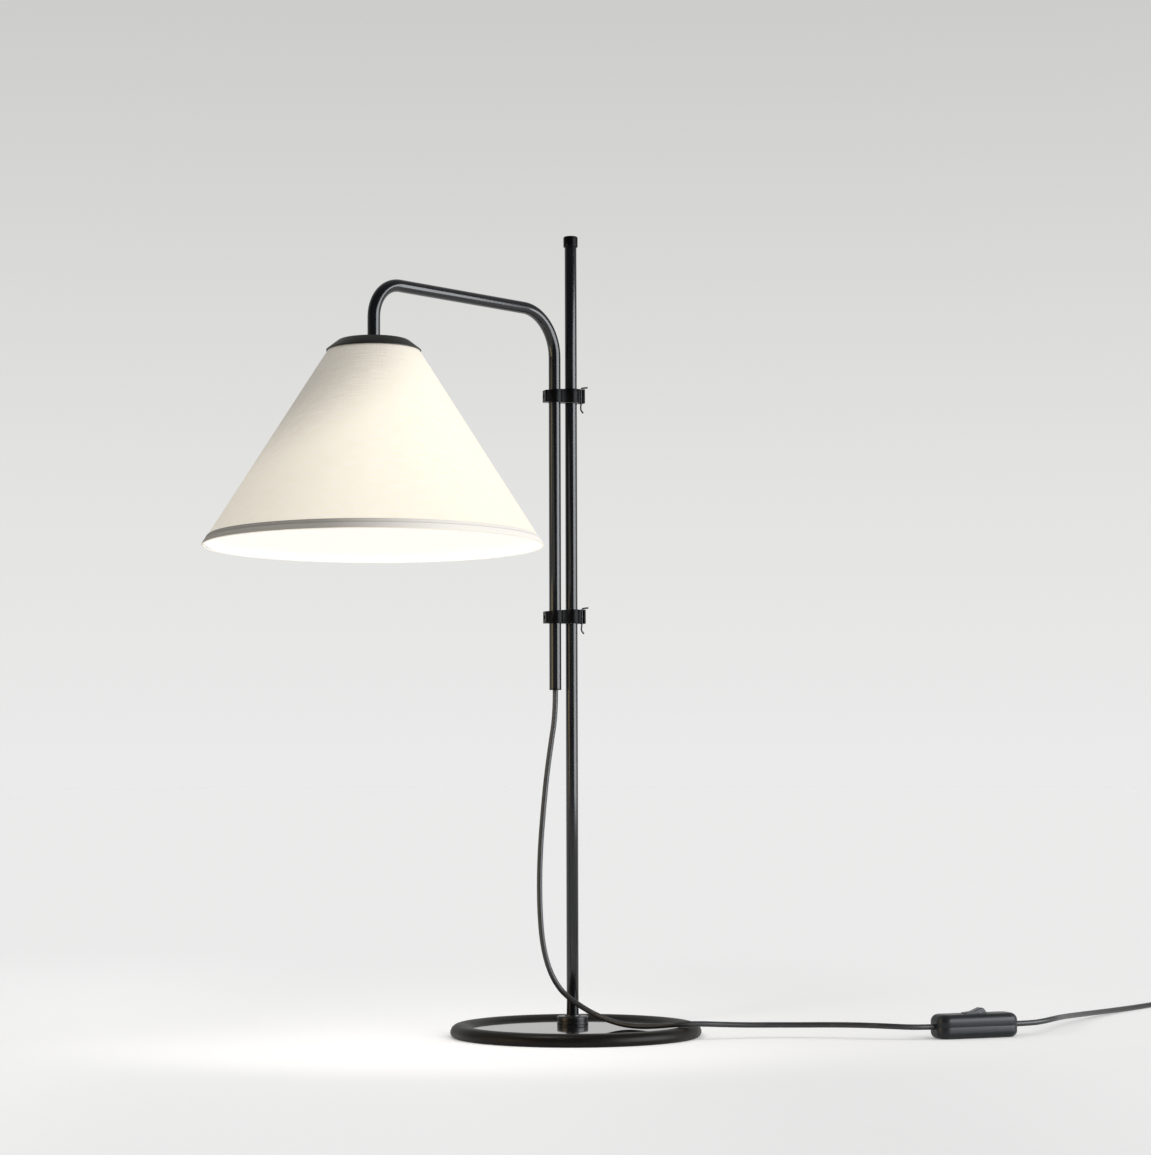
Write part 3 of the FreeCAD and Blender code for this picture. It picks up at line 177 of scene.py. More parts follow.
class Shader:
    """The node tree of one material or of the world, written as expressions."""

    def __init__(self, owner: Any) -> None:
        """Start with an empty tree.

        Args:
            owner: the material or world whose tree it is.
        """
        owner.use_nodes = True
        self.owner = owner
        self.tree = owner.node_tree
        self.tree.nodes.clear()

    def node(self, kind: str, settings: Optional[dict[str, Any]] = None,
             inputs: Optional[dict[Union[int, str], Any]] = None) -> bpy.types.Node:
        """Add a node, set it up, then fill or link its sockets.

        Args:
            kind: the node's type name.
            settings: properties of the node, set before its sockets; "stops" fills a colour ramp.
            inputs: values, channels, sockets or nodes by socket name or number.

        Returns:
            The new node.
        """
        made = self.tree.nodes.new(kind)
        for name, value in (settings or {}).items():
            if name == "stops":
                self.fill_ramp(made.color_ramp, value)
            else:
                setattr(made, name, value)
        for name, value in (inputs or {}).items():
            socket = made.inputs[name]
            if isinstance(value, Channel):
                self.tree.links.new(value.socket, socket)
            elif isinstance(value, bpy.types.NodeSocket):
                self.tree.links.new(value, socket)
            elif isinstance(value, bpy.types.Node):
                self.tree.links.new(value.outputs[0], socket)
            elif isinstance(value, (tuple, list)) and len(value) == 3 and socket.type == "RGBA":
                socket.default_value = (*value, 1.0)
            else:
                socket.default_value = value
        return made

    def fill_ramp(self, ramp: bpy.types.ColorRamp, stops: Sequence[tuple[float, Colour]]) -> None:
        """Give a colour ramp its stops.

        Args:
            ramp: the ramp.
            stops: position and colour of each stop.
        """
        while len(ramp.elements) < len(stops):
            ramp.elements.new(0.5)
        for element, (position, colour) in zip(ramp.elements, stops):
            element.position = position
            element.color = (*colour, 1.0)

    def place(self, source: str = "Object") -> bpy.types.NodeSocket:
        """Coordinates of the surface: Object, UV or, in the world, Generated."""
        return self.node("ShaderNodeTexCoord").outputs[source]

    def along(self, vector: Any, direction: Sequence[float]) -> Channel:
        """How far a vector reaches along a direction."""
        made = self.node("ShaderNodeVectorMath", {"operation": "DOT_PRODUCT"},
                         {0: vector, 1: tuple(direction)})
        return Channel(self, made.outputs["Value"])

    def stretched(self, vector: Any, scale: Sequence[float]) -> bpy.types.Node:
        """Coordinates scaled by a different factor along each axis."""
        return self.node("ShaderNodeMapping", None, {"Vector": vector, "Scale": tuple(scale)})

    def split(self, vector: Any) -> tuple[Channel, Channel, Channel]:
        """The three numbers of a vector."""
        made = self.node("ShaderNodeSeparateXYZ", None, {0: vector})
        return tuple(Channel(self, output) for output in made.outputs)

    def noise(self, vector: Any, scale: float, detail: float = 3.0,
              roughness: float = 0.5) -> Channel:
        """Smooth noise from 0 to 1.

        Args:
            vector: coordinates it is read at.
            scale: features for each metre.
            detail: octaves.
            roughness: share that finer octaves keep.

        Returns:
            The noise as a number.
        """
        made = self.node("ShaderNodeTexNoise", None, {
            "Vector": vector, "Scale": scale, "Detail": detail, "Roughness": roughness})
        return Channel(self, made.outputs[0])

    def mix(self, share: Number, first: Any, second: Any) -> bpy.types.NodeSocket:
        """Mix two colours.

        Args:
            share: share of the second colour, from 0 to 1.
            first: first colour or link.
            second: second colour or link.

        Returns:
            The colour's socket.
        """
        made = self.node("ShaderNodeMix", {"data_type": "RGBA"},
                         {0: share, 6: first, 7: second})
        return made.outputs[2]

    def bump(self, height: Channel, depth: float) -> bpy.types.Node:
        """Turn a height from 0 to 1 into a shading normal.

        Args:
            height: the height.
            depth: the height's full range in metres.

        Returns:
            The Bump node.
        """
        return self.node("ShaderNodeBump", None, {"Height": height, "Distance": depth})

    def finish(self, **inputs: Any) -> None:
        """End a material in one Principled shader.

        Args:
            **inputs: its sockets, with spaces in their names written as underscores.
        """
        named = {name.replace("_", " "): value for name, value in inputs.items()}
        surface = self.node("ShaderNodeBsdfPrincipled", None, named)
        self.node("ShaderNodeOutputMaterial", None, {"Surface": surface})


# ---------------------------------------------------------------- finishes

@dataclass(frozen=True)
class Lacquer:
    """Near-black lacquer on metal: fine orange peel, faint dust and handling marks."""

    name: str
    colour: Colour = (0.006, 0.0065, 0.008)
    roughness: float = 0.14
    peel_depth: float = 0.0008 * MM
    dust: float = 0.03

    def build(self) -> bpy.types.Material:
        """Make the material."""
        shader = Shader(bpy.data.materials.new(self.name))
        place = shader.place()
        marks = shader.noise(shader.stretched(place, (1.0, 1.0, 0.35)), 60.0, 5.0, 0.6)
        peel = shader.noise(place, 420.0, 2.0)
        dust = shader.noise(place, 2600.0, 1.0).between(0.66, 0.8)
        lifted = tuple(part * 1.6 + 0.002 for part in self.colour)
        tone = shader.mix(marks.between(0.35, 0.75) * 0.6, self.colour, lifted)
        shader.finish(
            Base_Color=shader.mix(dust * self.dust, tone, (0.16, 0.16, 0.155)),
            Roughness=self.roughness + (marks - 0.5) * 0.1 + dust * 0.08,
            Normal=shader.bump(peel, self.peel_depth))
        return shader.owner


@dataclass(frozen=True)
class Moulding:
    """Moulded black plastic with a fine spark-eroded grain and rubbed high spots."""

    name: str
    colour: Colour = (0.006, 0.006, 0.007)
    roughness: float = 0.3
    grain: float = 2200.0
    grain_depth: float = 0.015 * MM
    shine: float = 0.3

    def build(self) -> bpy.types.Material:
        """Make the material."""
        shader = Shader(bpy.data.materials.new(self.name))
        place = shader.place()
        grain = shader.noise(place, self.grain, 2.0)
        wear = shader.noise(place, 130.0, 4.0, 0.65).between(0.5, 0.78)
        lighter = tuple(part * 1.5 + 0.002 for part in self.colour)
        shader.finish(
            Base_Color=shader.mix(wear * 0.5, self.colour, lighter),
            Roughness=self.roughness - wear * 0.08 + (grain - 0.5) * 0.08,
            Normal=shader.bump(grain, self.grain_depth), Specular_IOR_Level=self.shine)
        return shader.owner


@dataclass(frozen=True)
class Rubber:
    """Soft black rubber: a dull bloom that gathers in patches, and tiny pits."""

    name: str
    colour: Colour = (0.006, 0.0048, 0.0035)
    bloom: Colour = (0.015, 0.0115, 0.007)
    roughness: float = 0.4

    def build(self) -> bpy.types.Material:
        """Make the material."""
        shader = Shader(bpy.data.materials.new(self.name))
        place = shader.place()
        patches = shader.noise(place, 26.0, 4.0, 0.6).between(0.4, 0.75)
        pits = shader.noise(place, 1500.0, 2.0)
        shader.finish(
            Base_Color=shader.mix(patches * 0.6, self.colour, self.bloom),
            Roughness=self.roughness + patches * 0.12,
            Normal=shader.bump(pits, 0.03 * MM), Specular_IOR_Level=0.16)
        return shader.owner


@dataclass(frozen=True)
class Metal:
    """Bare or plated metal with drawn lines along one axis and dull patches."""

    name: str
    colour: Colour
    roughness: float = 0.28
    lines: Sequence[float] = (1.0, 1.0, 0.06)
    line_scale: float = 2400.0

    def build(self) -> bpy.types.Material:
        """Make the material."""
        shader = Shader(bpy.data.materials.new(self.name))
        place = shader.place()
        drawn = shader.noise(shader.stretched(place, self.lines), self.line_scale, 2.0)
        dull = shader.noise(place, 220.0, 4.0, 0.6)
        darker = tuple(part * 0.72 for part in self.colour)
        shader.finish(
            Base_Color=shader.mix(dull.between(0.45, 0.75), self.colour, darker),
            Metallic=1.0, Roughness=self.roughness + (dull - 0.5) * 0.2,
            Normal=shader.bump(drawn, 0.01 * MM))
        return shader.owner


def side_share(shader: Shader, axis: Sequence[float], towards: Sequence[float]) -> Channel:
    """How far round the shade a point lies towards one side, from -1 to 1."""
    offset = shader.node("ShaderNodeVectorMath", {"operation": "SUBTRACT"},
                         {0: shader.place(), 1: tuple(axis)})
    level = shader.node("ShaderNodeVectorMath", {"operation": "MULTIPLY"},
                        {0: offset, 1: (1.0, 1.0, 0.0)})
    heading = shader.node("ShaderNodeVectorMath", {"operation": "NORMALIZE"}, {0: level})
    along = shader.node("ShaderNodeVectorMath", {"operation": "DOT_PRODUCT"},
                        {0: heading, 1: tuple(towards)})
    return Channel(shader, along.outputs["Value"])


@dataclass(frozen=True)
class Linen:
    """Lampshade cloth: plain weave with slubs along the threads, glowing from the lamp inside, with
    painted light on its window side and painted shade on its far side.
    """

    name: str
    thread: float = 0.62 * MM
    colour: Colour = (0.83, 0.79, 0.72)
    shadow: Colour = (0.7, 0.64, 0.55)
    glow: Colour = (1.0, 0.94, 0.76)
    glow_strength: float = 0.46
    axis: tuple[float, float, float] = (-0.196, 0.034, 0.0)
    painted_light_side: tuple[float, float, float] = (0.67, -0.742, 0.0)
    painted_shade_side: tuple[float, float, float] = (0.743, 0.669, 0.0)
    glow_level: float = 0.47
    glow_above: float = 0.085
    glow_below: float = 0.1

    def build(self) -> bpy.types.Material:
        """Make the material; the weave reads the cloth's own flat cut, the glow the lamp inside,
        with painted light and shade from the window.
        """
        shader = Shader(bpy.data.materials.new(self.name))
        flat = shader.place("UV")
        across, along, _ = shader.split(flat)
        turn = 2 * math.pi / self.thread
        warp = (across * turn).sine()
        weft = (along * turn).sine()
        weave = (warp * weft) * 0.5 + 0.5
        warp_slub = shader.noise(shader.stretched(flat, (1.0, 0.05, 1.0)), 1500.0, 2.0)
        weft_slub = shader.noise(shader.stretched(flat, (0.06, 1.0, 1.0)), 1000.0, 3.0)
        slub = warp_slub * 0.3 + weft_slub * 0.7
        cloudy = shader.noise(flat, 34.0, 3.0)
        # Darker yarn in the slubs, and painted shade where the woven threads dip.
        tone = shader.mix(slub.between(0.36, 0.64) * 0.55 + weave * 0.2, self.shadow, self.colour)
        height = shader.split(shader.place())[2] - self.glow_level
        # Painted light and shade: the glow is brighter towards the window side and dimmer on the
        # far side, and its upper edge slants with it.
        side = side_share(shader, self.axis, self.painted_light_side)
        behind = side_share(shader, self.axis, self.painted_shade_side).between(0.0, 1.0)
        under = 1.0 - (height - side * 0.045).between(0.0, self.glow_above)
        over = 1.0 - (-1.0 * height).between(0.0, self.glow_below) * 0.1
        level = (0.1 + 0.9 * under) * over * (0.62 + 0.33 * side.between(-1.1, 0.1))
        level = level * (1.0 - 0.4 * behind)
        level = level * (0.8 + slub * 0.34 + cloudy * 0.06)
        shader.finish(
            Base_Color=tone, Roughness=0.85,
            Normal=shader.bump(weave * 0.5 + slub * 0.5, 0.16 * MM), Sheen_Weight=0.12,
            Emission_Color=shader.mix(level, (0.0, 0.0, 0.0), self.glow),
            Emission_Strength=self.glow_strength)
        return shader.owner


@dataclass(frozen=True)
class Lining:
    """White backing film inside the shade, lit by the bulb."""

    name: str
    colour: Colour = (0.88, 0.87, 0.84)
    glow: Colour = (1.0, 0.985, 0.95)
    glow_strength: float = 0.34

    def build(self) -> bpy.types.Material:
        """Make the material."""
        shader = Shader(bpy.data.materials.new(self.name))
        place = shader.place()
        faint = shader.noise(place, 90.0, 3.0)
        pores = shader.noise(place, 2400.0, 2.0)
        shader.finish(
            Base_Color=shader.mix(faint * 0.4, self.colour, (0.8, 0.78, 0.74)),
            Roughness=0.6 + (pores - 0.5) * 0.1, Normal=shader.bump(pores, 0.02 * MM),
            Emission_Color=shader.mix(faint * 0.25, self.glow, (0.9, 0.87, 0.8)),
            Emission_Strength=self.glow_strength)
        return shader.owner


@dataclass(frozen=True)
class Tape:
    """Grey ribbed tape folded over the shade's lower wire, with painted shade on its upper turn and
    along its fold, and painted light on its window side and its inner leg.
    """

    name: str
    rib: float = 0.75 * MM
    colour: Colour = (0.43, 0.405, 0.365)
    painted_shade_and_yarn_tone: Colour = (0.325, 0.305, 0.275)
    fold: float = 3.0 * MM
    leg: float = 8.6 * MM
    axis: tuple[float, float, float] = (-0.196, 0.034, 0.0)
    painted_light_side: tuple[float, float, float] = (0.67, -0.742, 0.0)
    glow_strength: float = 0.57

    def build(self) -> bpy.types.Material:
        """Make the material; its UV runs round the shade and down over the fold."""
        shader = Shader(bpy.data.materials.new(self.name))
        flat = shader.place("UV")
        around, down, _ = shader.split(flat)
        ribs = (around * (2 * math.pi / self.rib)).sine() * 0.5 + 0.5
        yarn = shader.noise(shader.stretched(flat, (1.0, 0.2, 1.0)), 1900.0, 2.0)
        stitch = (1.0 - ((down - 1.5 * MM) / (0.35 * MM)).size().between(0.0, 1.0))
        stitch = stitch * (around * (2 * math.pi / (2.4 * MM))).sine().between(-0.3, 0.2)
        # Painted shade: the upper turn above the fold is darker and a darker line runs along the
        # fold; the same shaded tone also gives the yarn its own variation.
        tone = shader.mix(down.between(self.fold - 0.3 * MM, self.fold + 0.5 * MM), self.painted_shade_and_yarn_tone,
                          self.colour)
        painted_crease_shade = 1.0 - ((down - self.fold) / (0.5 * MM)).size().between(0.0, 1.0)
        tone = shader.mix(painted_crease_shade * 0.6, tone, (0.2, 0.18, 0.155))
        tone = shader.mix(yarn.between(0.35, 0.65) * 0.3, tone, self.painted_shade_and_yarn_tone)
        # Painted light: the tape glows on its window side and on its inner leg.
        inner = down.between(self.leg - 0.9 * MM, self.leg)
        side = side_share(shader, self.axis, self.painted_light_side).between(-0.3, 0.6)
        lit = side + (1.0 - side) * inner
        shader.finish(
            Base_Color=shader.mix(stitch * 0.5, tone, (0.66, 0.63, 0.58)), Roughness=0.8,
            Normal=shader.bump(ribs * 0.4 + yarn * 0.3 + stitch * 0.3, 0.2 * MM),
            Emission_Color=shader.mix(lit * (1.0 - painted_crease_shade * 0.3), (0.0, 0.0, 0.0),
                                      (1.0, 0.97, 0.92)),
            Emission_Strength=self.glow_strength)
        return shader.owner


@dataclass(frozen=True)
class Sheath:
    """The lead's rubber-like sheath: long faint draw lines, scuffs and a satin face."""

    name: str
    colour: Colour = (0.026, 0.026, 0.027)
    scuff: Colour = (0.075, 0.075, 0.075)
    roughness: float = 0.4

    def build(self) -> bpy.types.Material:
        """Make the material; its UV runs round the lead and along it."""
        shader = Shader(bpy.data.materials.new(self.name))
        flat = shader.place("UV")
        drawn = shader.noise(shader.stretched(flat, (1.0, 0.02, 1.0)), 1800.0, 2.0)
        scuffs = shader.noise(shader.stretched(flat, (1.0, 0.3, 1.0)), 160.0, 5.0, 0.65)
        worn = scuffs.between(0.52, 0.8)
        shader.finish(
            Base_Color=shader.mix(worn * 0.55, self.colour, self.scuff),
            Roughness=self.roughness + worn * 0.15 + (drawn - 0.5) * 0.12,
            Normal=shader.bump(drawn, 0.04 * MM))
        return shader.owner


@dataclass(frozen=True)
class OpalGlass:
    """Opal bulb glass, lit: brightest in the middle, greyer towards its neck."""

    name: str
    low: float
    high: float

    def build(self) -> bpy.types.Material:
        """Make the material; low and high are the levels of the bulb's tip and neck."""
        shader = Shader(bpy.data.materials.new(self.name))
        place = shader.place()
        level = shader.split(place)[2]
        neck = level.between(self.low + (self.high - self.low) * 0.55, self.high)
        mottle = shader.noise(place, 160.0, 3.0)
        shader.finish(
            Base_Color=shader.mix(neck, (0.93, 0.91, 0.87), (0.7, 0.67, 0.62)),
            Roughness=0.12 + mottle * 0.05,
            Emission_Color=shader.mix(neck, (1.0, 0.93, 0.8), (0.35, 0.3, 0.24)),
            Emission_Strength=0.9)
        return shader.owner


@dataclass(frozen=True)
class PressedFelt:
    """Pressed felt under the base."""

    name: str

    def build(self) -> bpy.types.Material:
        """Make the material."""
        shader = Shader(bpy.data.materials.new(self.name))
        place = shader.place()
        fibres = shader.noise(place, 1400.0, 6.0, 0.7)
        shader.finish(
            Base_Color=shader.mix(fibres, (0.012, 0.012, 0.013), (0.05, 0.05, 0.05)),
            Roughness=0.95, Normal=shader.bump(fibres, 0.4 * MM), Sheen_Weight=0.3)
        return shader.owner


class Finishes:
    """All materials of the lamp, each built once."""

    def __init__(self) -> None:
        """Build the materials."""
        bulb_low, bulb_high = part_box("bulb_glass")
        self.tube = Lacquer("tube_lacquer").build()
        self.plate = Lacquer("plate_lacquer", (0.008, 0.008, 0.009), 0.05, 0.001 * MM).build()
        self.hub = Lacquer("hub_lacquer", (0.006, 0.006, 0.007), 0.3).build()
        self.cap = Lacquer("cap_lacquer", (0.009, 0.0085, 0.007), 0.42, 0.01 * MM).build()
        self.rim = Rubber("rim_rubber").build()
        self.moulding = Moulding("black_moulding", (0.003, 0.003, 0.0035), 0.3,
                                 shine=0.08).build()
        self.switch = Moulding("switch_moulding", (0.014, 0.016, 0.018), 0.36).build()
        self.rocker = Moulding("rocker_moulding", (0.012, 0.012, 0.02), 0.18, 3000.0,
                               0.01 * MM).build()
        self.bush = Moulding("bush_nylon", (0.5, 0.5, 0.47), 0.4).build()
        self.block = Moulding("block_moulding", (0.42, 0.4, 0.36), 0.5).build()
        self.zinc = Metal("zinc_plate", (0.5, 0.51, 0.53)).build()
        self.wire = Lacquer("spring_wire", (0.008, 0.008, 0.008), 0.3).build()
        self.brass = Metal("turned_brass", (0.72, 0.53, 0.25)).build()
        self.aluminium = Metal("pressed_aluminium", (0.78, 0.78, 0.79)).build()
        self.nickel = Metal("nickel_plate", (0.75, 0.73, 0.68), 0.16).build()
        self.white_wire = Moulding("white_powder_coat", (0.78, 0.77, 0.74), 0.45).build()
        self.lit_wire = Lining("lit_wire_coat", glow_strength=0.5).build()
        self.cloth = Linen("shade_linen").build()
        self.lining = Lining("shade_lining_film").build()
        self.tape = Tape("shade_tape").build()
        self.sheath = Sheath("lead_sheath").build()
        self.glass = OpalGlass("opal_glass", bulb_low.z, bulb_high.z).build()
        self.felt = PressedFelt("pressed_felt").build()


# ---------------------------------------------------------------- modelling

def keep(bm: bmesh.types.BMesh, name: str, material: bpy.types.Material, sharp: float = 40.0,
         outward: bool = True) -> bpy.types.Object:
    """Close a bmesh into an object at the origin.

    Args:
        bm: the mesh, in the frame's coordinates; it is freed.
        name: the piece's name.
        material: its finish.
        sharp: edges that turn by more than this many degrees stay sharp.
        outward: make the normals point out of the shape.

    Returns:
        The object, linked to the scene.
    """
    if outward:
        bmesh.ops.recalc_face_normals(bm, faces=bm.faces[:])
    limit = math.radians(sharp)
    for edge in bm.edges:
        edge.smooth = not (edge.is_manifold and edge.calc_face_angle(0.0) > limit)
    for face in bm.faces:
        face.smooth = True
    mesh = bpy.data.meshes.new(name)
    bm.to_mesh(mesh)
    bm.free()
    piece = bpy.data.objects.new(name, mesh)
    piece.data.materials.append(material)
    bpy.context.scene.collection.objects.link(piece)
    return piece


def soften(bm: bmesh.types.BMesh, width: float, segments: int = 3, angle: float = 35.0) -> None:
    """Round the sharp edges of a closed shape.

    Args:
        bm: the mesh.
        width: width of the rounding.
        segments: faces across it.
        angle: edges that turn by more than this many degrees are rounded.
    """
    limit = math.radians(angle)
    edges = [edge for edge in bm.edges
             if edge.is_manifold and edge.calc_face_angle(0.0) > limit]
    bmesh.ops.bevel(bm, geom=edges, offset=width, segments=segments, profile=0.5,
                    affect="EDGES", clamp_overlap=True, material=-1)


def turned(name: str, outline: Profile, material: bpy.types.Material, where: Matrix,
           segments: int = 96, round_over: float = 0.0, sharp: float = 40.0,
           closed: bool = True) -> bpy.types.Object:
    """Spin an outline about its own Z axis.

    Args:
        name: the piece's name.
        outline: radius and height of its points.
        material: its finish.
        where: the axis's place in the frame.
        segments: steps of the full turn.
        round_over: width of the rounding on its sharp edges.
        sharp: edges sharper than this many degrees stay so.
        closed: join the outline's last point to its first.

    Returns:
        The piece.
    """
    bm = bmesh.new()
    points = [bm.verts.new((radius, 0.0, height)) for radius, height in outline]
    runs = [bm.edges.new(pair) for pair in zip(points, points[1:])]
    if closed:
        runs.append(bm.edges.new((points[-1], points[0])))
    bmesh.ops.spin(bm, geom=points + runs, cent=(0, 0, 0), axis=(0, 0, 1), angle=2 * math.pi,
                   steps=segments, use_merge=True, use_duplicate=False)
    bmesh.ops.remove_doubles(bm, verts=bm.verts[:], dist=0.001 * MM)
    bmesh.ops.dissolve_degenerate(bm, edges=bm.edges[:], dist=0.0005 * MM)
    bmesh.ops.recalc_face_normals(bm, faces=bm.faces[:])
    if round_over:
        soften(bm, round_over)
    bmesh.ops.transform(bm, matrix=where, verts=bm.verts[:])
    return keep(bm, name, material, sharp)


def arc(centre: tuple[float, float], radius: float, start: float, end: float,
        steps: int = 8) -> list[tuple[float, float]]:
    """Points on an arc of an outline.

    Args:
        centre: its middle.
        radius: its radius.
        start: angle of the first point in degrees.
        end: angle of the last point.
        steps: runs between them.

    Returns:
        The points.
    """
    angles = [math.radians(start + (end - start) * step / steps) for step in range(steps + 1)]
    return [(centre[0] + radius * math.cos(angle), centre[1] + radius * math.sin(angle))
            for angle in angles]


def travel_frames(points: Sequence[Vector], first_side: Vector) -> list[Matrix]:
    """Frames along a line whose sides turn as little as the line allows.

    Args:
        points: the line.
        first_side: rough direction of the first frame's X axis.

    Returns:
        One matrix for each point, its Z axis along the line.
    """
    frames = []
    side = first_side
    for index, point in enumerate(points):
        before = points[max(index - 1, 0)]
        after = points[min(index + 1, len(points) - 1)]
        along = (after - before).normalized()
        side = (side - along * side.dot(along)).normalized()
        matrix = Matrix((side, along.cross(side), along)).transposed().to_4x4()
        matrix.translation = point
        frames.append(matrix)
    return frames


def swept(name: str, points: Sequence[Vector], radii: Union[float, Sequence[float]],
          material: bpy.types.Material, sides: int = 24,
          first_side: Vector = Vector((0.31, 0.95, 0.07)), caps: bool = True,
          bore: float = 0.0) -> bpy.types.Object:
    """Draw a round section along a line, ring by ring, with a UV map round and along it.

    Args:
        name: the piece's name.
        points: the line.
        radii: the section's radius, one for all or one for each point.
        material: its finish.
        sides: sides of the section.
        first_side: rough direction of the UV seam at the first point.
        caps: close both ends.
        bore: depth of the open bore shown at the first end, 0 for none.

    Returns:
        The piece.
    """
    widths = [radii] * len(points) if isinstance(radii, float) else list(radii)
    frames = travel_frames(points, first_side)
    bm = bmesh.new()
    along = bm.verts.layers.float.new("along")
    made = bmesh.ops.create_circle(bm, segments=sides, radius=1.0, cap_ends=False)
    ring = made["verts"]
    bmesh.ops.transform(bm, matrix=frames[0] @ Matrix.Scale(widths[0], 4), verts=ring)
    edges = list({edge for vert in ring for edge in vert.link_edges})
    first_edges, travelled = edges, 0.0
    for index in range(1, len(points)):
        grown = bmesh.ops.extrude_edge_only(bm, edges=edges)["geom"]
        ring = [item for item in grown if isinstance(item, bmesh.types.BMVert)]
        edges = [item for item in grown if isinstance(item, bmesh.types.BMEdge)]
        before = frames[index - 1] @ Matrix.Scale(widths[index - 1], 4)
        after = frames[index] @ Matrix.Scale(widths[index], 4)
        bmesh.ops.transform(bm, matrix=after @ before.inverted(), verts=ring)
        travelled += (points[index] - points[index - 1]).length
        for vert in ring:
            vert[along] = travelled
    uv = bm.loops.layers.uv.new("UVMap")
    girth = 2 * math.pi * max(widths)
    wrap_sweep(bm, uv, frames, points, along, girth)
    if caps:
        bmesh.ops.contextual_create(bm, geom=edges)
        if bore:
            hollow_end(bm, first_edges, frames[0], widths[0], bore)
        else:
            bmesh.ops.contextual_create(bm, geom=first_edges)
    return keep(bm, name, material)


def wrap_sweep(bm: bmesh.types.BMesh, uv: Any, frames: Sequence[Matrix],
               points: Sequence[Vector], along: Any, girth: float) -> None:
    """Lay a swept shape's UV map out flat, in metres."""
    lengths = [0.0]
    for before, after in zip(points, points[1:]):
        lengths.append(lengths[-1] + (after - before).length)
    index_of = {round(length, 9): index for index, length in enumerate(lengths)}
    for face in bm.faces:
        angles = []
        for loop in face.loops:
            length = loop.vert[along]
            index = index_of.get(round(length, 9))
            if index is None:
                index = min(range(len(lengths)), key=lambda i: abs(lengths[i] - length))
            local = frames[index].inverted() @ loop.vert.co
            angles.append(math.atan2(local.y, local.x) / (2 * math.pi) % 1.0)
        wide = max(angles) - min(angles) > 0.5
        for loop, angle in zip(face.loops, angles):
            turn = angle + 1.0 if wide and angle < 0.5 else angle
            loop[uv].uv = (turn * girth, loop.vert[along])


def hollow_end(bm: bmesh.types.BMesh, edges: Sequence[bmesh.types.BMEdge], at: Matrix,
               radius: float, wall: float) -> None:
    """Turn a tube's open end inwards by its wall and close it some way up the bore."""
    grown = bmesh.ops.extrude_edge_only(bm, edges=edges)["geom"]
    ring = [item for item in grown if isinstance(item, bmesh.types.BMVert)]
    inner = [item for item in grown if isinstance(item, bmesh.types.BMEdge)]
    shrink = at @ Matrix.Scale((radius - wall) / radius, 4) @ at.inverted()
    bmesh.ops.transform(bm, matrix=shrink, verts=ring)
    grown = bmesh.ops.extrude_edge_only(bm, edges=inner)["geom"]
    ring = [item for item in grown if isinstance(item, bmesh.types.BMVert)]
    deep = [item for item in grown if isinstance(item, bmesh.types.BMEdge)]
    bmesh.ops.translate(bm, vec=at.to_3x3() @ Vector((0, 0, 3 * radius)), verts=ring)
    bmesh.ops.contextual_create(bm, geom=deep)


def refined(name: str, node: str, material: bpy.types.Material, round_over: float,
            segments: int = 3, angle: float = 35.0) -> bpy.types.Object:
    """A merged copy of a CAD node with its sharp edges rounded; it stands for the node.

    Args:
        name: the new piece's name.
        node: the CAD node.
        material: its finish.
        round_over: width of the rounding.
        segments: faces across it.
        angle: edges that turn by more than this many degrees are rounded.

    Returns:
        The piece.
    """
    bm = bmesh.new()
    bm.from_mesh(frame["nodes"][node].data)
    bmesh.ops.remove_doubles(bm, verts=bm.verts[:], dist=0.002 * MM)
    bmesh.ops.dissolve_limit(bm, angle_limit=math.radians(0.5), verts=bm.verts[:],
                             edges=bm.edges[:])
    soften(bm, round_over, segments, angle)
    piece = keep(bm, name, material, 28.0, outward=False)
    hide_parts(node)
    return piece


def finish_node(node: str, material: bpy.types.Material) -> None:
    """Give a CAD node that keeps its shape its finish."""
    slots = frame["nodes"][node].material_slots
    for slot in slots:
        slot.material = material


def settle(piece: bpy.types.Object, body: Body, slot: str, *nodes: str) -> bpy.types.Object:
    """Make a piece ride on its body and hide the CAD nodes it stands for.

    Args:
        piece: the piece.
        body: the body it rides on.
        slot: the record's material slot; not used.
        *nodes: CAD nodes that it replaces.

    Returns:
        The piece.
    """
    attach(piece, body.value)
    if nodes:
        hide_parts(*nodes)
    LOG.info("%s rides on %s", piece.name, body.value)
    return piece


def upright(node: str) -> Matrix:
    """The place of a CAD node's vertical axis at its lowest level."""
    low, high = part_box(node)
    middle = (low + high) / 2
    return Matrix.Translation((middle.x, middle.y, low.z))


def half_width(node: str) -> float:
    """Outer radius of a CAD node that stands upright."""
    low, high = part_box(node)
    return (high.x - low.x) / 2


# ---------------------------------------------------------------- stand

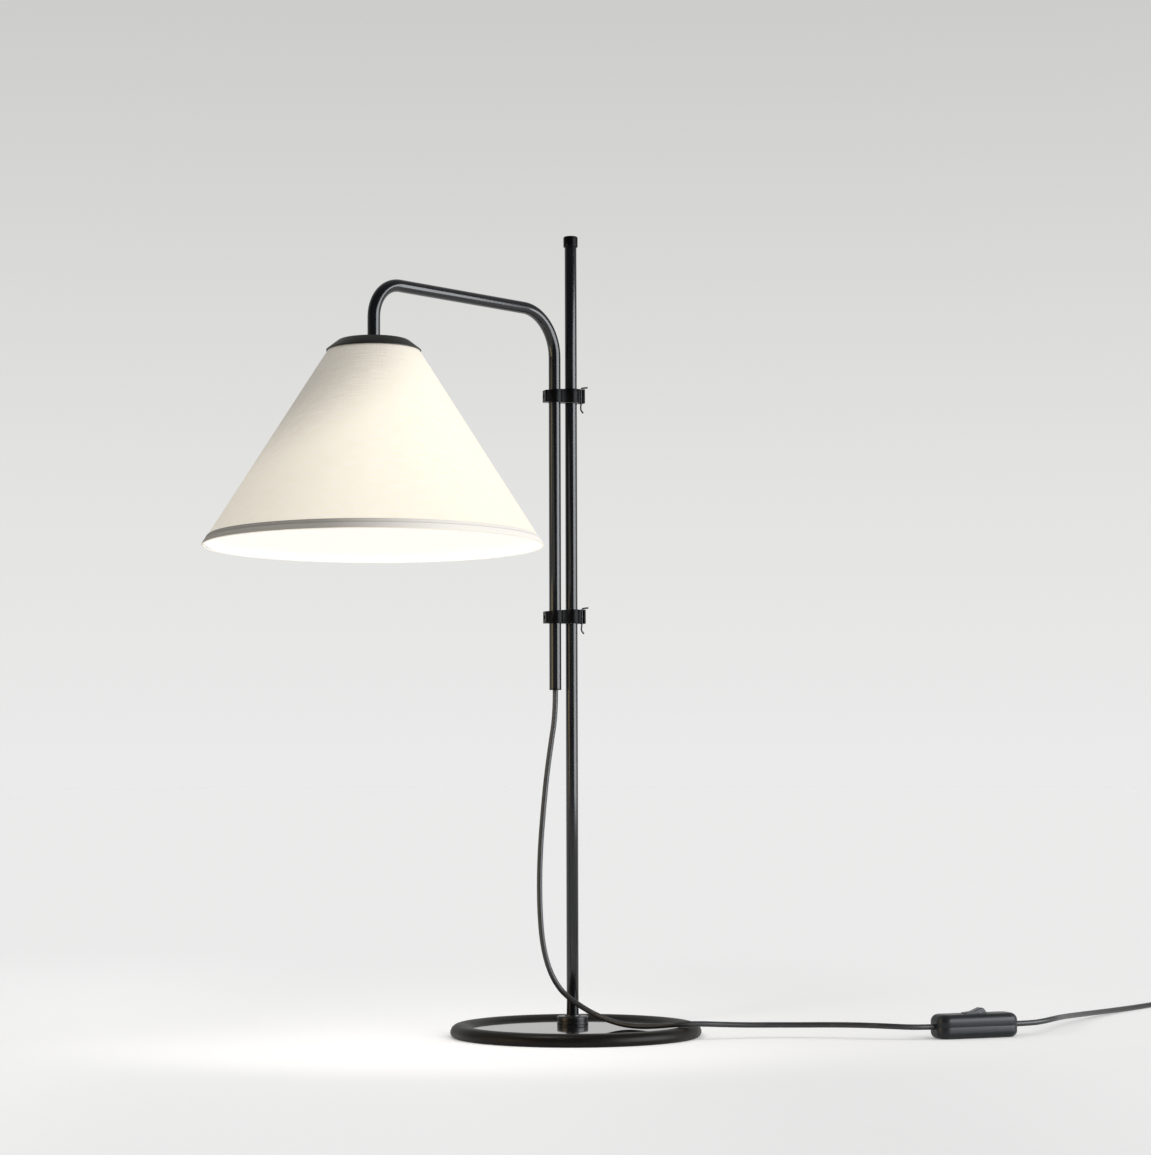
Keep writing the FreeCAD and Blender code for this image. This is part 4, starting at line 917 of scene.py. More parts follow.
@dataclass
class Stand:
    """Base disc with its soft rim, hub, post and cap."""

    finishes: Finishes
    rim_width: float = 18.6 * MM
    rim_foot: float = 2.6 * MM
    hub_step: float = 6.7 * MM
    hub_bore: float = 5.05 * MM
    hub_collar: float = 6.4 * MM
    tube_wall: float = 1.0 * MM

    def build(self) -> None:
        """Model the stand."""
        self.rim()
        self.hub()
        self.post()
        finish_node("base_disc", self.finishes.plate)
        finish_node("base_pad", self.finishes.felt)
        for node in ("post_foot_plug", "post_screw", "post_washer"):
            finish_node(node, self.finishes.zinc)

    def rim(self) -> None:
        """The soft ring: low roll outside, gentle slope in to the disc."""
        low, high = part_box("base_rim")
        disc_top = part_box("base_disc")[1].z
        radius, height = half_width("base_rim"), high.z
        inner, crown = radius - self.rim_width, radius - self.rim_width * 0.47
        foot_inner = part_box("base_pad")[1].x + 1.8 * MM
        side = height * 0.36
        outline = [(foot_inner, 0.0), (radius - self.rim_foot, 0.0)]
        outline += arc((radius - side * 0.95, side * 0.98), side * 0.95, -62, 0, 6)
        roll_centre = (radius - height * 0.62, side)
        outline += arc(roll_centre, height * 0.62, 4, 86, 12)
        outline += [(crown + (inner - crown) * share,
                     height - (height - disc_top) * share ** 1.9) for share in
                    (0.12, 0.3, 0.48, 0.64, 0.8, 0.92, 1.0)]
        outline += [(inner + 0.2 * MM, disc_top - 1.0 * MM), (foot_inner, 1.0 * MM)]
        piece = turned("soft_rim", outline, self.finishes.rim, Matrix(), 256)
        settle(piece, Body.STAND, "black_rubber", "base_rim")

    def hub(self) -> None:
        """Turned collar with chamfered edge, a fine groove and a raised step."""
        radius = half_width("post_hub")
        top = self.hub_collar
        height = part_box("post_hub")[1].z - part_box("post_hub")[0].z
        groove, depth = 0.35 * MM, 0.25 * MM
        outline = [
            (self.hub_bore, 0.0), (radius, 0.0), (radius, top * 0.3 - groove),
            (radius - depth, top * 0.3), (radius, top * 0.3 + groove), (radius, top - 0.6 * MM),
            (radius - 0.6 * MM, top), (self.hub_step, top), (self.hub_step, height),
            (self.hub_bore, height)]
        piece = turned("hub", outline, self.finishes.hub, upright("post_hub"), 96, 0.12 * MM)
        settle(piece, Body.STAND, "black_lacquer", "post_hub")

    def post(self) -> None:
        """Upright tube, and the moulded cap pushed over its end."""
        low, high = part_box("post_tube")
        radius, length = half_width("post_tube"), high.z - low.z
        bore = radius - self.tube_wall
        tube = turned("post", [(bore, 0.0), (radius, 0.0), (radius, length), (bore, length)],
                      self.finishes.tube, upright("post_tube"), 64, 0.2 * MM)
        settle(tube, Body.STAND, "gunmetal_tube", "post_tube")
        low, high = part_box("post_cap")
        radius, height = half_width("post_cap"), high.z - low.z
        bevel = height * 0.14
        outline = [(self.hub_bore, 0.0), (radius - 0.25 * MM, 0.0), (radius, 0.3 * MM),
                   (radius, height * 0.27), (radius - 0.18 * MM, height * 0.29),
                   (radius - 0.18 * MM, height * 0.33), (radius, height * 0.35)]
        outline += arc((radius - bevel, height - bevel), bevel, 0, 90, 6)
        outline += [(0.0, height), (0.0, height - 2.4 * MM),
                    (self.hub_bore, height - 2.4 * MM)]
        cap = turned("post_end_cap", outline, self.finishes.moulding, upright("post_cap"), 64)
        settle(cap, Body.STAND, "black_moulding", "post_cap")


# ---------------------------------------------------------------- clamps

@dataclass
class Clamp:
    """One clamp on the post: yoke, bushes, grub screw and the sprung release wire."""

    finishes: Finishes
    side: str
    wire_radius: float = 0.7 * MM
    eye_radius: float = 1.8 * MM
    lip_length: float = 5.6 * MM
    yoke_turn: float = 28.0
    half_height: float = 5.85 * MM

    def build(self) -> None:
        """Model the clamp."""
        yoke = refined(self.side + "_yoke", self.side + "_clamp_yoke", self.finishes.moulding,
                       0.28 * MM)
        settle(yoke, Body.ARM, "black_moulding")
        for end in ("top", "bottom"):
            finish_node("%s_bush_%s" % (self.side, end), self.finishes.bush)
        finish_node(self.side + "_arm_screw", self.finishes.zinc)
        finish_node(self.side + "_release_pin", self.finishes.zinc)
        self.release_wire()

    def release_wire(self) -> None:
        """Bent wire: lip over the lug, eye round its pin, tail curved back under it."""
        joint = next(item for item in frame["joints"]
                     if item["name"] == self.side + "_release_lever")
        pivot = Vector(joint["pos_m"])
        turn = Matrix.Rotation(-math.radians(self.yoke_turn), 4, "Z")
        aside = -(self.eye_radius - self.wire_radius)
        top = self.half_height + self.wire_radius + 0.3 * MM
        line = [(self.lip_length, top + 0.5 * MM), (self.lip_length * 0.5, top + 0.2 * MM)]
        line += [(1.62 * MM - 1.62 * MM * math.sin(angle), top - 1.62 * MM * (1 - math.cos(angle)))
                 for angle in (math.pi * step / 16 for step in range(9))]
        line += [(0.0, -self.half_height * share) for share in (-0.4, 0.0, 0.5, 1.0)]
        tail = self.half_height
        line += [(-0.2 * MM, -tail - 2.0 * MM), (-0.5 * MM, -tail - 3.6 * MM),
                 (-0.45 * MM, -tail - 5.2 * MM), (0.2 * MM, -tail - 6.7 * MM),
                 (1.2 * MM, -tail - 7.9 * MM), (1.75 * MM, -tail - 8.35 * MM)]
        place = Matrix.Translation(pivot) @ turn
        points = [place @ Vector((along, aside, up)) for along, up in line]
        wire = swept(self.side + "_wire", smooth_line(points), self.wire_radius,
                     self.finishes.wire, 16)
        body = Body.UPPER_RELEASE if self.side == "upper" else Body.LOWER_RELEASE
        eye_place = place @ Matrix.Translation((-self.wire_radius, 0, 0)) @ Matrix.Rotation(
            math.pi / 2, 4, "Y")
        hole, outer, wide = 0.65 * MM, self.eye_radius, 2 * self.wire_radius
        eye = turned(self.side + "_wire_eye",
                     [(hole, 0.0), (outer, 0.0), (outer, wide), (hole, wide)],
                     self.finishes.wire, eye_place, 32, 0.3 * MM)
        settle(wire, body, "zinc_steel", self.side + "_release_wire")
        settle(eye, body, "zinc_steel")


def smooth_line(points: Sequence[Vector], resolution: int = 4) -> list[Vector]:
    """Points of a smooth line that has the given ones as its control points."""
    return read_spline("bent_line", points, resolution)


def read_spline(name: str, points: Iterable[Vector], resolution: int = 10) -> list[Vector]:
    """Read the points of a NURBS spline of order 3.

    Args:
        name: name of the throw-away curve.
        points: its control points.
        resolution: points read for each control point.

    Returns:
        The points, from its first end to its last.
    """
    points = list(points)
    curve = bpy.data.curves.new(name, "CURVE")
    curve.dimensions = "3D"
    curve.resolution_u = resolution
    spline = curve.splines.new("NURBS")
    spline.points.add(len(points) - 1)
    for control, point in zip(spline.points, points):
        control.co = (*point, 1.0)
    spline.order_u = 3
    spline.use_endpoint_u = True
    holder = bpy.data.objects.new(name, curve)
    mesh = bpy.data.meshes.new_from_object(holder)
    line = [vertex.co.copy() for vertex in mesh.vertices]
    bpy.data.objects.remove(holder)
    bpy.data.curves.remove(curve)
    bpy.data.meshes.remove(mesh)
    return line


# ---------------------------------------------------------------- arm and head

@dataclass
class Arm:
    """The bent tube with its two bends, and the bush in its lower end."""

    finishes: Finishes
    tube_radius: float = 5.0 * MM
    wall: float = 1.0 * MM
    level: float = 598.0 * MM
    reach: float = 209.4 * MM
    clamp_bend: float = 37.8 * MM
    head_bend: float = 28.8 * MM
    head_lean: float = 0.9
    head_twist: float = 1.0
    head_drop: float = 47.0 * MM

    def axis(self) -> Vector:
        """Foot of the arm tube's upright axis."""
        low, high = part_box("arm_end_bush")
        return Vector(((low.x + high.x) / 2, (low.y + high.y) / 2, low.z))

    def head(self) -> Matrix:
        """Place of the lamp head's axis, its zero at the arm's outer corner."""
        corner = self.axis() + Vector((-self.reach, 0, 0))
        corner.z = self.level
        return (Matrix.Translation(corner)
                @ Matrix.Rotation(-math.radians(self.head_twist), 4, "X")
                @ Matrix.Rotation(math.radians(self.head_lean), 4, "Y"))

    def bend(self, before: Vector, corner: Vector, after: Vector, radius: float,
             steps: int = 24) -> list[Vector]:
        """Points of the arc that rounds one corner of the tube."""
        inward = (before - corner).normalized()
        outward = (after - corner).normalized()
        half = inward.angle(outward) / 2
        middle = corner + (inward + outward).normalized() * (radius / math.sin(half))
        start = corner + inward * (radius / math.tan(half)) - middle
        turn = math.pi - 2 * half
        axis = inward.cross(outward).normalized() * -1
        return [middle + Matrix.Rotation(turn * step / steps, 3, axis) @ start
                for step in range(steps + 1)]

    def build(self) -> None:
        """Model the tube and dress its bush."""
        foot = self.axis()
        foot.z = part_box("arm_tube")[0].z
        shoulder = Vector((foot.x, foot.y, self.level))
        head = self.head()
        corner = head.translation
        end = head @ Vector((0, 0, -self.head_drop))
        points = [foot, foot + Vector((0, 0, 0.1))]
        points += self.bend(foot, shoulder, corner, self.clamp_bend)
        points += self.bend(shoulder, corner, end, self.head_bend)
        points.append(end)
        tube = swept("arm", points, self.tube_radius, self.finishes.tube, 48, bore=self.wall)
        settle(tube, Body.ARM, "gunmetal_tube", "arm_tube")
        finish_node("arm_end_bush", self.finishes.moulding)
        finish_node("tube_lead", self.finishes.sheath)


@dataclass
class LampHead:
    """Cap, lampholder and bulb on the head's axis."""

    finishes: Finishes
    head: Matrix
    cap_top: float = -47.0 * MM
    cap_radius: float = 28.0 * MM
    cap_lip: float = 37.2 * MM
    cap_height: float = 8.4 * MM
    sheet: float = 1.0 * MM
    nipple: float = 3.95 * MM
    bulb_radius: float = 30.0 * MM
    glass_top: float = -100.05 * MM
    bulb_low: float = -187.05 * MM
    bulb_neck: float = 12.15 * MM

    def build(self) -> None:
        """Model cap and bulb, and dress the lampholder."""
        self.cap()
        self.bulb()
        for node in ("lampholder_cap", "lampholder_skirt"):
            settle(refined(node + "_moulding", node, self.finishes.moulding, 0.25 * MM),
                   Body.ARM, "black_moulding")
        finish_node("shade_ring", self.finishes.moulding)
        finish_node("lampholder_core", self.finishes.block)
        finish_node("shade_spider", self.finishes.white_wire)
        finish_node("head_locknut", self.finishes.zinc)
        finish_node("bulb_cap", self.finishes.aluminium)
        for node in ("head_nipple", "lampholder_thread", "lampholder_contact"):
            finish_node(node, self.finishes.brass)

    def cap(self) -> None:
        """Pressed cap: flat top, rounded shoulder, straight slope and a rolled lip."""
        top, wall, lip = self.cap_top, self.sheet, self.cap_lip
        low = top - self.cap_height
        bend = self.cap_height * 0.42
        slope = math.atan2(self.cap_height * 0.72, lip - self.cap_radius - 0.3 * self.cap_height)
        outside = [(self.nipple, top), (self.cap_radius - bend * 0.5, top)]
        outside += arc((self.cap_radius - bend * 0.5, top - bend), bend, 86,
                       90 - math.degrees(slope), 6)
        outside += [(lip - 0.2 * MM, low + wall * 0.95), (lip, low + wall * 0.6),
                    (lip, low + 0.15 * MM), (lip - 0.2 * MM, low), (lip - wall, low)]
        inside = [(lip - wall, low + 1.2 * MM), (self.cap_radius + 1.4 * MM, top - 2.75 * MM),
                  (self.cap_radius - wall, top - wall), (self.nipple, top - wall)]
        piece = turned("shade_top_cap", outside + inside, self.finishes.cap, self.head, 128)
        settle(piece, Body.ARM, "black_lacquer", "shade_cap")

    def bulb(self) -> None:
        """Opal glass: round end, straight-sided shoulder and a short neck."""
        radius = self.bulb_radius
        centre = self.bulb_low + radius
        outline = arc((0.0, centre), radius, -90, 31.3, 26)
        shoulder_x, shoulder_z = outline[-1]
        for share in (0.2, 0.4, 0.6, 0.8, 1.0):
            ease = share * share * (3 - 2 * share)
            outline.append((shoulder_x + (self.bulb_neck - shoulder_x) * (share + ease) / 2,
                            shoulder_z + (self.glass_top - 5 * MM - shoulder_z) * share))
        outline += [(self.bulb_neck, self.glass_top), (0.0, self.glass_top)]
        outline[0] = (0.0, self.bulb_low)
        piece = turned("bulb_envelope", outline, self.finishes.glass, self.head, 64, closed=False)
        settle(piece, Body.ARM, "opal_glass", "bulb_glass")


# ---------------------------------------------------------------- shade

@dataclass
class Shade:
    """Cloth cone on its lining, the tape over the lower wire, and the wires themselves."""

    finishes: Finishes
    head: Matrix
    top: float = -54.6 * MM
    height: float = 154.2 * MM
    top_radius: float = 35.5 * MM
    bottom_radius: float = 132.5 * MM
    cloth: float = 0.8 * MM
    lining: float = 0.5 * MM
    tape_height: float = 7.6 * MM
    tape: float = 0.5 * MM
    hoop: float = 1.6 * MM
    seam_turn: float = 42.0
    seam_width: float = 9.0 * MM

    @property
    def slant(self) -> float:
        """Length of the cone's side."""
        return math.hypot(self.height, self.bottom_radius - self.top_radius)

    @property
    def sine(self) -> float:
        """Sine of the angle between the cone's side and its axis."""
        return (self.bottom_radius - self.top_radius) / self.slant

    def face(self, level: float) -> float:
        """Outer radius of the cloth at a level on the head's axis."""
        share = (self.top - level) / self.height
        return self.top_radius + (self.bottom_radius - self.top_radius) * share

    def cone(self, name: str, start: float, end: float, offset: float, wall: float,
             material: bpy.types.Material, steps: int) -> bpy.types.Object:
        """A stretch of the cone between two turns, with the cut's own flat layout as its UV map.

        Args:
            name: the piece's name.
            start: angle of its first edge in radians.
            end: angle of its last edge.
            offset: how far its outer face stands out from the cloth's.
            wall: its thickness.
            material: its finish.
            steps: columns of faces.

        Returns:
            The piece.
        """
        bm = bmesh.new()
        rows = 24
        points = []
        for row in range(rows + 1):
            level = self.top - self.height * row / rows
            radius = self.face(level) + offset
            points.append(bm.verts.new((radius * math.cos(start), radius * math.sin(start),
                                        level)))
        runs = [bm.edges.new(pair) for pair in zip(points, points[1:])]
        whole = abs(end - start) >= 2 * math.pi - 1e-6
        bmesh.ops.spin(bm, geom=points + runs, cent=(0, 0, 0), axis=(0, 0, 1), angle=end - start,
                       steps=steps, use_merge=False, use_duplicate=False)
        bmesh.ops.recalc_face_normals(bm, faces=bm.faces[:])
        sample = bm.faces[len(bm.faces) // 2]
        if sample.normal.dot(sample.calc_center_median() * Vector((1, 1, 0))) < 0:
            bmesh.ops.reverse_faces(bm, faces=bm.faces[:])
        uv = bm.loops.layers.uv.new("UVMap")
        for face in bm.faces:
            middle = face.calc_center_median()
            base = (math.atan2(middle.y, middle.x) - start) % (2 * math.pi)
            for loop in face.loops:
                place = loop.vert.co
                turn = (math.atan2(place.y, place.x) - start - base + math.pi) % (2 * math.pi)
                turn = turn - math.pi + base
                side = math.hypot(place.x, place.y) / self.sine
                flat = turn * self.sine
                middle_flat = flat - abs(end - start) * self.sine / 2
                loop[uv].uv = (side * math.sin(middle_flat), side * math.cos(middle_flat))
        if whole:
            bmesh.ops.remove_doubles(bm, verts=bm.verts[:], dist=0.001 * MM)
        bmesh.ops.solidify(bm, geom=bm.faces[:] + bm.edges[:] + bm.verts[:], thickness=wall)
        bmesh.ops.transform(bm, matrix=self.head, verts=bm.verts[:])
        return keep(bm, name, material, 60.0)

    def build(self) -> None:
        """Model the shade."""
        seam = math.radians(self.seam_turn)
        full = 2 * math.pi
        cloth = self.cone("shade_cloth", seam, seam + full, 0.0, self.cloth, self.finishes.cloth,
                          192)
        settle(cloth, Body.ARM, "cream_cloth", "shade_fabric")
        outer = self.bottom_radius / self.sine
        cut_depth = outer * (1 + math.cos(math.pi * (1 - self.sine)))
        2 * outer
        lap = self.seam_width / self.bottom_radius
        strip = self.cone("shade_seam", seam - lap, seam, self.cloth * 0.45, self.cloth * 0.4,
                          self.finishes.cloth, 4)
        settle(strip, Body.ARM, "cream_cloth")
        lining = self.cone("shade_lining", 0.0, full, -self.cloth, self.lining,
                           self.finishes.lining, 192)
        settle(lining, Body.ARM, "white_liner", "shade_liner")
        self.edge_tape()
        self.lower_hoop()

    def edge_tape(self) -> None:
        """Tape folded over the lower wire: outer leg, rolled edge and a short inner leg."""
        bottom = self.top - self.height
        lip = self.tape * 1.4
        outer_top = bottom + self.tape_height
        skin = self.cloth + self.lining
        legs = [(self.face(outer_top) - 0.1 * MM, outer_top),
                (self.face(outer_top) + self.tape * 0.8, outer_top - 0.25 * MM)]
        for share in (0.12, 0.25, 0.38, 0.5, 0.62, 0.75, 0.88):
            level = outer_top + (bottom + lip - outer_top) * share
            swell = 0.34 * MM * abs(math.sin(2 * math.pi * share)) - 0.08 * MM
            legs.append((self.face(level) + self.tape * 0.8 + swell, level))
        legs += [(self.face(bottom + lip) + self.tape * 0.9, bottom + lip),
                 (self.face(bottom) + self.tape * 0.3, bottom + 0.25 * MM),
                 (self.face(bottom) - self.cloth * 0.5, bottom + 0.02 * MM),
                 (self.face(bottom) - skin - 0.1 * MM, bottom + 0.1 * MM),
                 (self.face(bottom) - skin - 0.22 * MM, bottom + 0.5 * MM),
                 (self.face(bottom + lip) - skin - 0.15 * MM, bottom + lip)]
        piece = turned("shade_edge_tape", legs, self.finishes.tape, self.head, 256, sharp=70.0)
        lay_round(piece, self.head, self.bottom_radius, outer_top)
        settle(piece, Body.ARM, "grey_trim", "shade_trim")

    def lower_hoop(self) -> None:
        """Wire ring inside the lower edge."""
        bottom = self.top - self.height
        level = bottom + self.hoop
        inset = self.cloth + self.lining + self.hoop * 1.18 + 0.05 * MM
        section = arc((self.face(level) - inset, level), self.hoop, 0, 337.5, 15)
        piece = turned("lower_hoop", section, self.finishes.lit_wire, self.head, 192)
        settle(piece, Body.ARM, "white_wire", "shade_bottom_hoop")


def lay_round(piece: bpy.types.Object, head: Matrix, radius: float, top: float) -> None:
    """Give a turned band a UV map: metres round its axis, and metres down from its top."""
    mesh = piece.data
    layer = mesh.uv_layers.new(name="UVMap")
    local = head.inverted()
    for polygon in mesh.polygons:
        middle = local @ polygon.center
        base = math.atan2(middle.y, middle.x)
        for index in polygon.loop_indices:
            point = local @ mesh.vertices[mesh.loops[index].vertex_index].co
            turn = (math.atan2(point.y, point.x) - base + math.pi) % (2 * math.pi)
            layer.data[index].uv = ((turn - math.pi + base) * radius, top - point.z)


# ---------------------------------------------------------------- mains lead

@dataclass
class MainsLead:
    """The lead's free stretches, its put-away coil, the switch on it and the plug."""

    finishes: Finishes
    outlet: Vector
    radius: float = 2.25 * MM
    exit_run: float = 20.0 * MM
    seam_level: float = 209.0 * MM
    floor_level: float = 40.0 * MM
    switch_middle: Vector = field(default_factory=lambda: Vector((198.0, -252.9, 9.6)) * MM)
    switch_heading: float = -26.9
    switch_half: float = 36.2 * MM
    entry: float = 7.5 * MM
    coil_middle: Vector = field(default_factory=lambda: Vector((605.9, -227.8, 2.25)) * MM)
    coil_heading: float = 7.3
    coil_radius: float = 29.0 * MM
    coil_pitch: float = 5.05 * MM
    coil_rise: float = 5.0 * MM
    half_turns: int = 4
    turn_points: int = 8
    plug_start: Vector = field(default_factory=lambda: Vector((562.0, -290.0, 6.7)) * MM)
    plug_heading: float = -125.0
    upper_length: float = 77.0 * MM
    lower_length: float = 506.0 * MM
    floor_length: float = 1149.0 * MM

    # Control points in millimetres: down from the arm tube, round the front of the post, over the
    # disc and the rim to the switch; then from the switch along the floor to the coil.
    HANGING = [
        (8.6, 35.0, 236.0), (3.4, 35.2, 209.0), (-1.1, 34.6, 182.0), (-5.2, 33.9, 154.2),
        (-8.4, 32.3, 127.3), (-10.4, 30.0, 99.7), (-10.6, 27.1, 74.5), (-7.1, 23.4, 53.4),
        (-0.9, 18.0, 37.9), (5.4, 9.6, 28.2), (11.0, -5.6, 18.9), (15.2, -19.2, 13.4),
        (18.6, -35.0, 9.8), (19.0, -53.0, 9.3), (20.4, -71.0, 10.7), (26.0, -88.0, 12.8),
        (41.0, -98.4, 12.6), (58.0, -108.5, 11.4), (74.4, -119.5, 10.6), (89.4, -132.0, 10.4),
        (105.0, -147.6, 10.2), (117.6, -167.4, 10.6), (127.5, -189.8, 11.0), (137.0, -211.5, 10.7)]
    FLOOR = [
        (259.2, -280.2, 10.6), (274.4, -279.6, 11.5), (294.5, -271.9, 10.7), (322.0, -259.7, 9.1),
        (355.5, -247.2, 7.3), (392.0, -235.8, 5.6), (429.0, -225.7, 4.1), (465.4, -218.1, 3.0),
        (502.0, -212.0, 2.3), (538.5, -208.8, 2.25)]
    TAIL = (587.0, -260.0, 7.2)

    def heading(self, degrees: float) -> Vector:
        """Level direction at an angle from the X axis."""
        angle = math.radians(degrees)
        return Vector((math.cos(angle), math.sin(angle), 0.0))

    def switch_point(self, along: float) -> Vector:
        """A point on the switch's axis."""
        return self.switch_middle + self.heading(self.switch_heading) * along

    def build(self) -> None:
        """Model the lead and what is on it."""
        self.switch()
        self.hanging()
        self.plug()
        self.floor()

    def hanging(self) -> None:
        """From the arm tube to the switch, in two pieces that meet where the clamps carry it."""
        points = [self.outlet, self.outlet - Vector((0, 0, self.exit_run))]
        points += [Vector(point) * MM for point in self.HANGING]
        points += [self.switch_point(-self.switch_half - self.exit_run * 0.8),
                   self.switch_point(-self.switch_half + self.entry)]
        line = read_spline("hanging_line", points)
        seam = next(index for index, point in enumerate(line) if point.z < self.seam_level)
        upper, lower = line[:seam + 1], line[seam:]
        side = Vector((0.3, -0.95, 0.1))
        top_piece = swept("lead_upper", upper, self.radius, self.finishes.sheath, 20, side)
        low_piece = swept("lead_lower", lower, self.radius, self.finishes.sheath, 20,
                          travel_frames(line, side)[seam].to_3x3().col[0])
        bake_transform(top_piece)
        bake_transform(low_piece)
        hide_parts("mains_lead_hanging")
        LOG.info("lead_upper and lead_lower bend between stand, carriage and arm")

    def coil_line(self) -> tuple[list[Vector], Vector]:
        """Control points of the coil and the direction in which the lead enters it."""
        forward = self.heading(self.coil_heading)
        outward = Vector((-forward.y, forward.x, 0.0))
        tighten = math.cos(math.pi / self.turn_points / 2)
        here = self.coil_middle + outward * self.coil_radius
        side, ahead, radius = outward, forward, self.coil_radius
        points = []
        for index in range(2 * self.half_turns + 1):
            climb = self.coil_rise if index == self.half_turns else 0.0
            centre = here - side * radius
            for step in range(self.turn_points):
                angle = math.pi * (step + 0.5) / self.turn_points
                reach = radius / tighten
                point = centre + side * (reach * math.cos(angle)) + ahead * (
                    reach * math.sin(angle))
                point.z = here.z + climb * (1 - math.cos(angle)) / 2
                points.append(point)
            here = here - side * (2 * radius) + Vector((0, 0, climb))
            side, ahead = -side, -ahead
            radius += -self.coil_pitch / 2 if index < self.half_turns else self.coil_pitch / 2
        points.append(here + ahead * (2 * self.radius))
        return points, forward

    def floor(self) -> None:
        """From the switch along the floor, through the coil, to the plug."""
        coil, forward = self.coil_line()
        outward = Vector((-forward.y, forward.x, 0.0))
        coil_start = self.coil_middle + outward * self.coil_radius
        points = [self.switch_point(self.switch_half - self.entry),
                  self.switch_point(self.switch_half + self.exit_run * 0.8)]
        points += [Vector(point) * MM for point in self.FLOOR]
        points += [coil_start - forward * self.exit_run]
        points += coil
        plug_way = self.heading(self.plug_heading)
        points += [Vector(self.TAIL) * MM, self.plug_start - plug_way * (self.exit_run * 0.9),
                   self.plug_start + plug_way * (2 * MM)]
        line = read_spline("floor_line", points, 8)
        piece = swept("lead_floor", line, self.radius, self.finishes.sheath, 20)
        settle(piece, Body.STAND, "cord_sheath", "mains_lead_floor", "mains_lead_coil",
               "mains_lead_tail")

    def switch(self) -> None:
        """Both halves of the housing, the rocker and the block behind it."""
        lower = refined("switch_lower_half", "switch_lower_shell", self.finishes.switch, 0.1 * MM)
        upper = refined("switch_upper_half", "switch_upper_shell", self.finishes.switch, 0.1 * MM)
        rocker = refined("switch_rocker_cap", "switch_rocker", self.finishes.rocker, 0.4 * MM)
        settle(lower, Body.STAND, "switch_shell")
        settle(upper, Body.STAND, "switch_shell")
        settle(rocker, Body.ROCKER, "rocker")
        finish_node("switch_contact_block", self.finishes.block)

    def plug(self) -> None:
        """Moulded plug, its tapered strain relief and the two pins."""
        body = refined("plug_moulding", "plug_body", self.finishes.moulding, 0.5 * MM)
        settle(body, Body.STAND, "cord_sheath")
        way = self.heading(self.plug_heading)
        turn = way.to_track_quat("Z", "Y").to_matrix().to_4x4()
        place = Matrix.Translation(self.plug_start) @ turn
        outline = [(self.radius + 0.03 * MM, 0.0)]
        ribs, length, end = 7, 22.0 * MM, 4.4 * MM
        for rib in range(ribs):
            for share, drop in ((0.12, 0.0), (0.5, 0.0), (0.62, 0.55), (0.92, 0.55)):
                along = (rib + share) / ribs
                wide = self.radius + 0.8 * MM + (end - self.radius - 0.8 * MM) * along
                outline.append((wide - drop * MM, length * along))
        outline += [(end, length), (self.radius + 0.03 * MM, length)]
        relief = turned("plug_relief", outline, self.finishes.moulding, place, 48, sharp=30.0)
        settle(relief, Body.STAND, "cord_sheath", "plug_strain_relief")
        pins = refined("plug_pin_pair", "plug_pins", self.finishes.nickel, 0.1 * MM)
        settle(pins, Body.STAND, "plated_pins")


# ---------------------------------------------------------------- studio

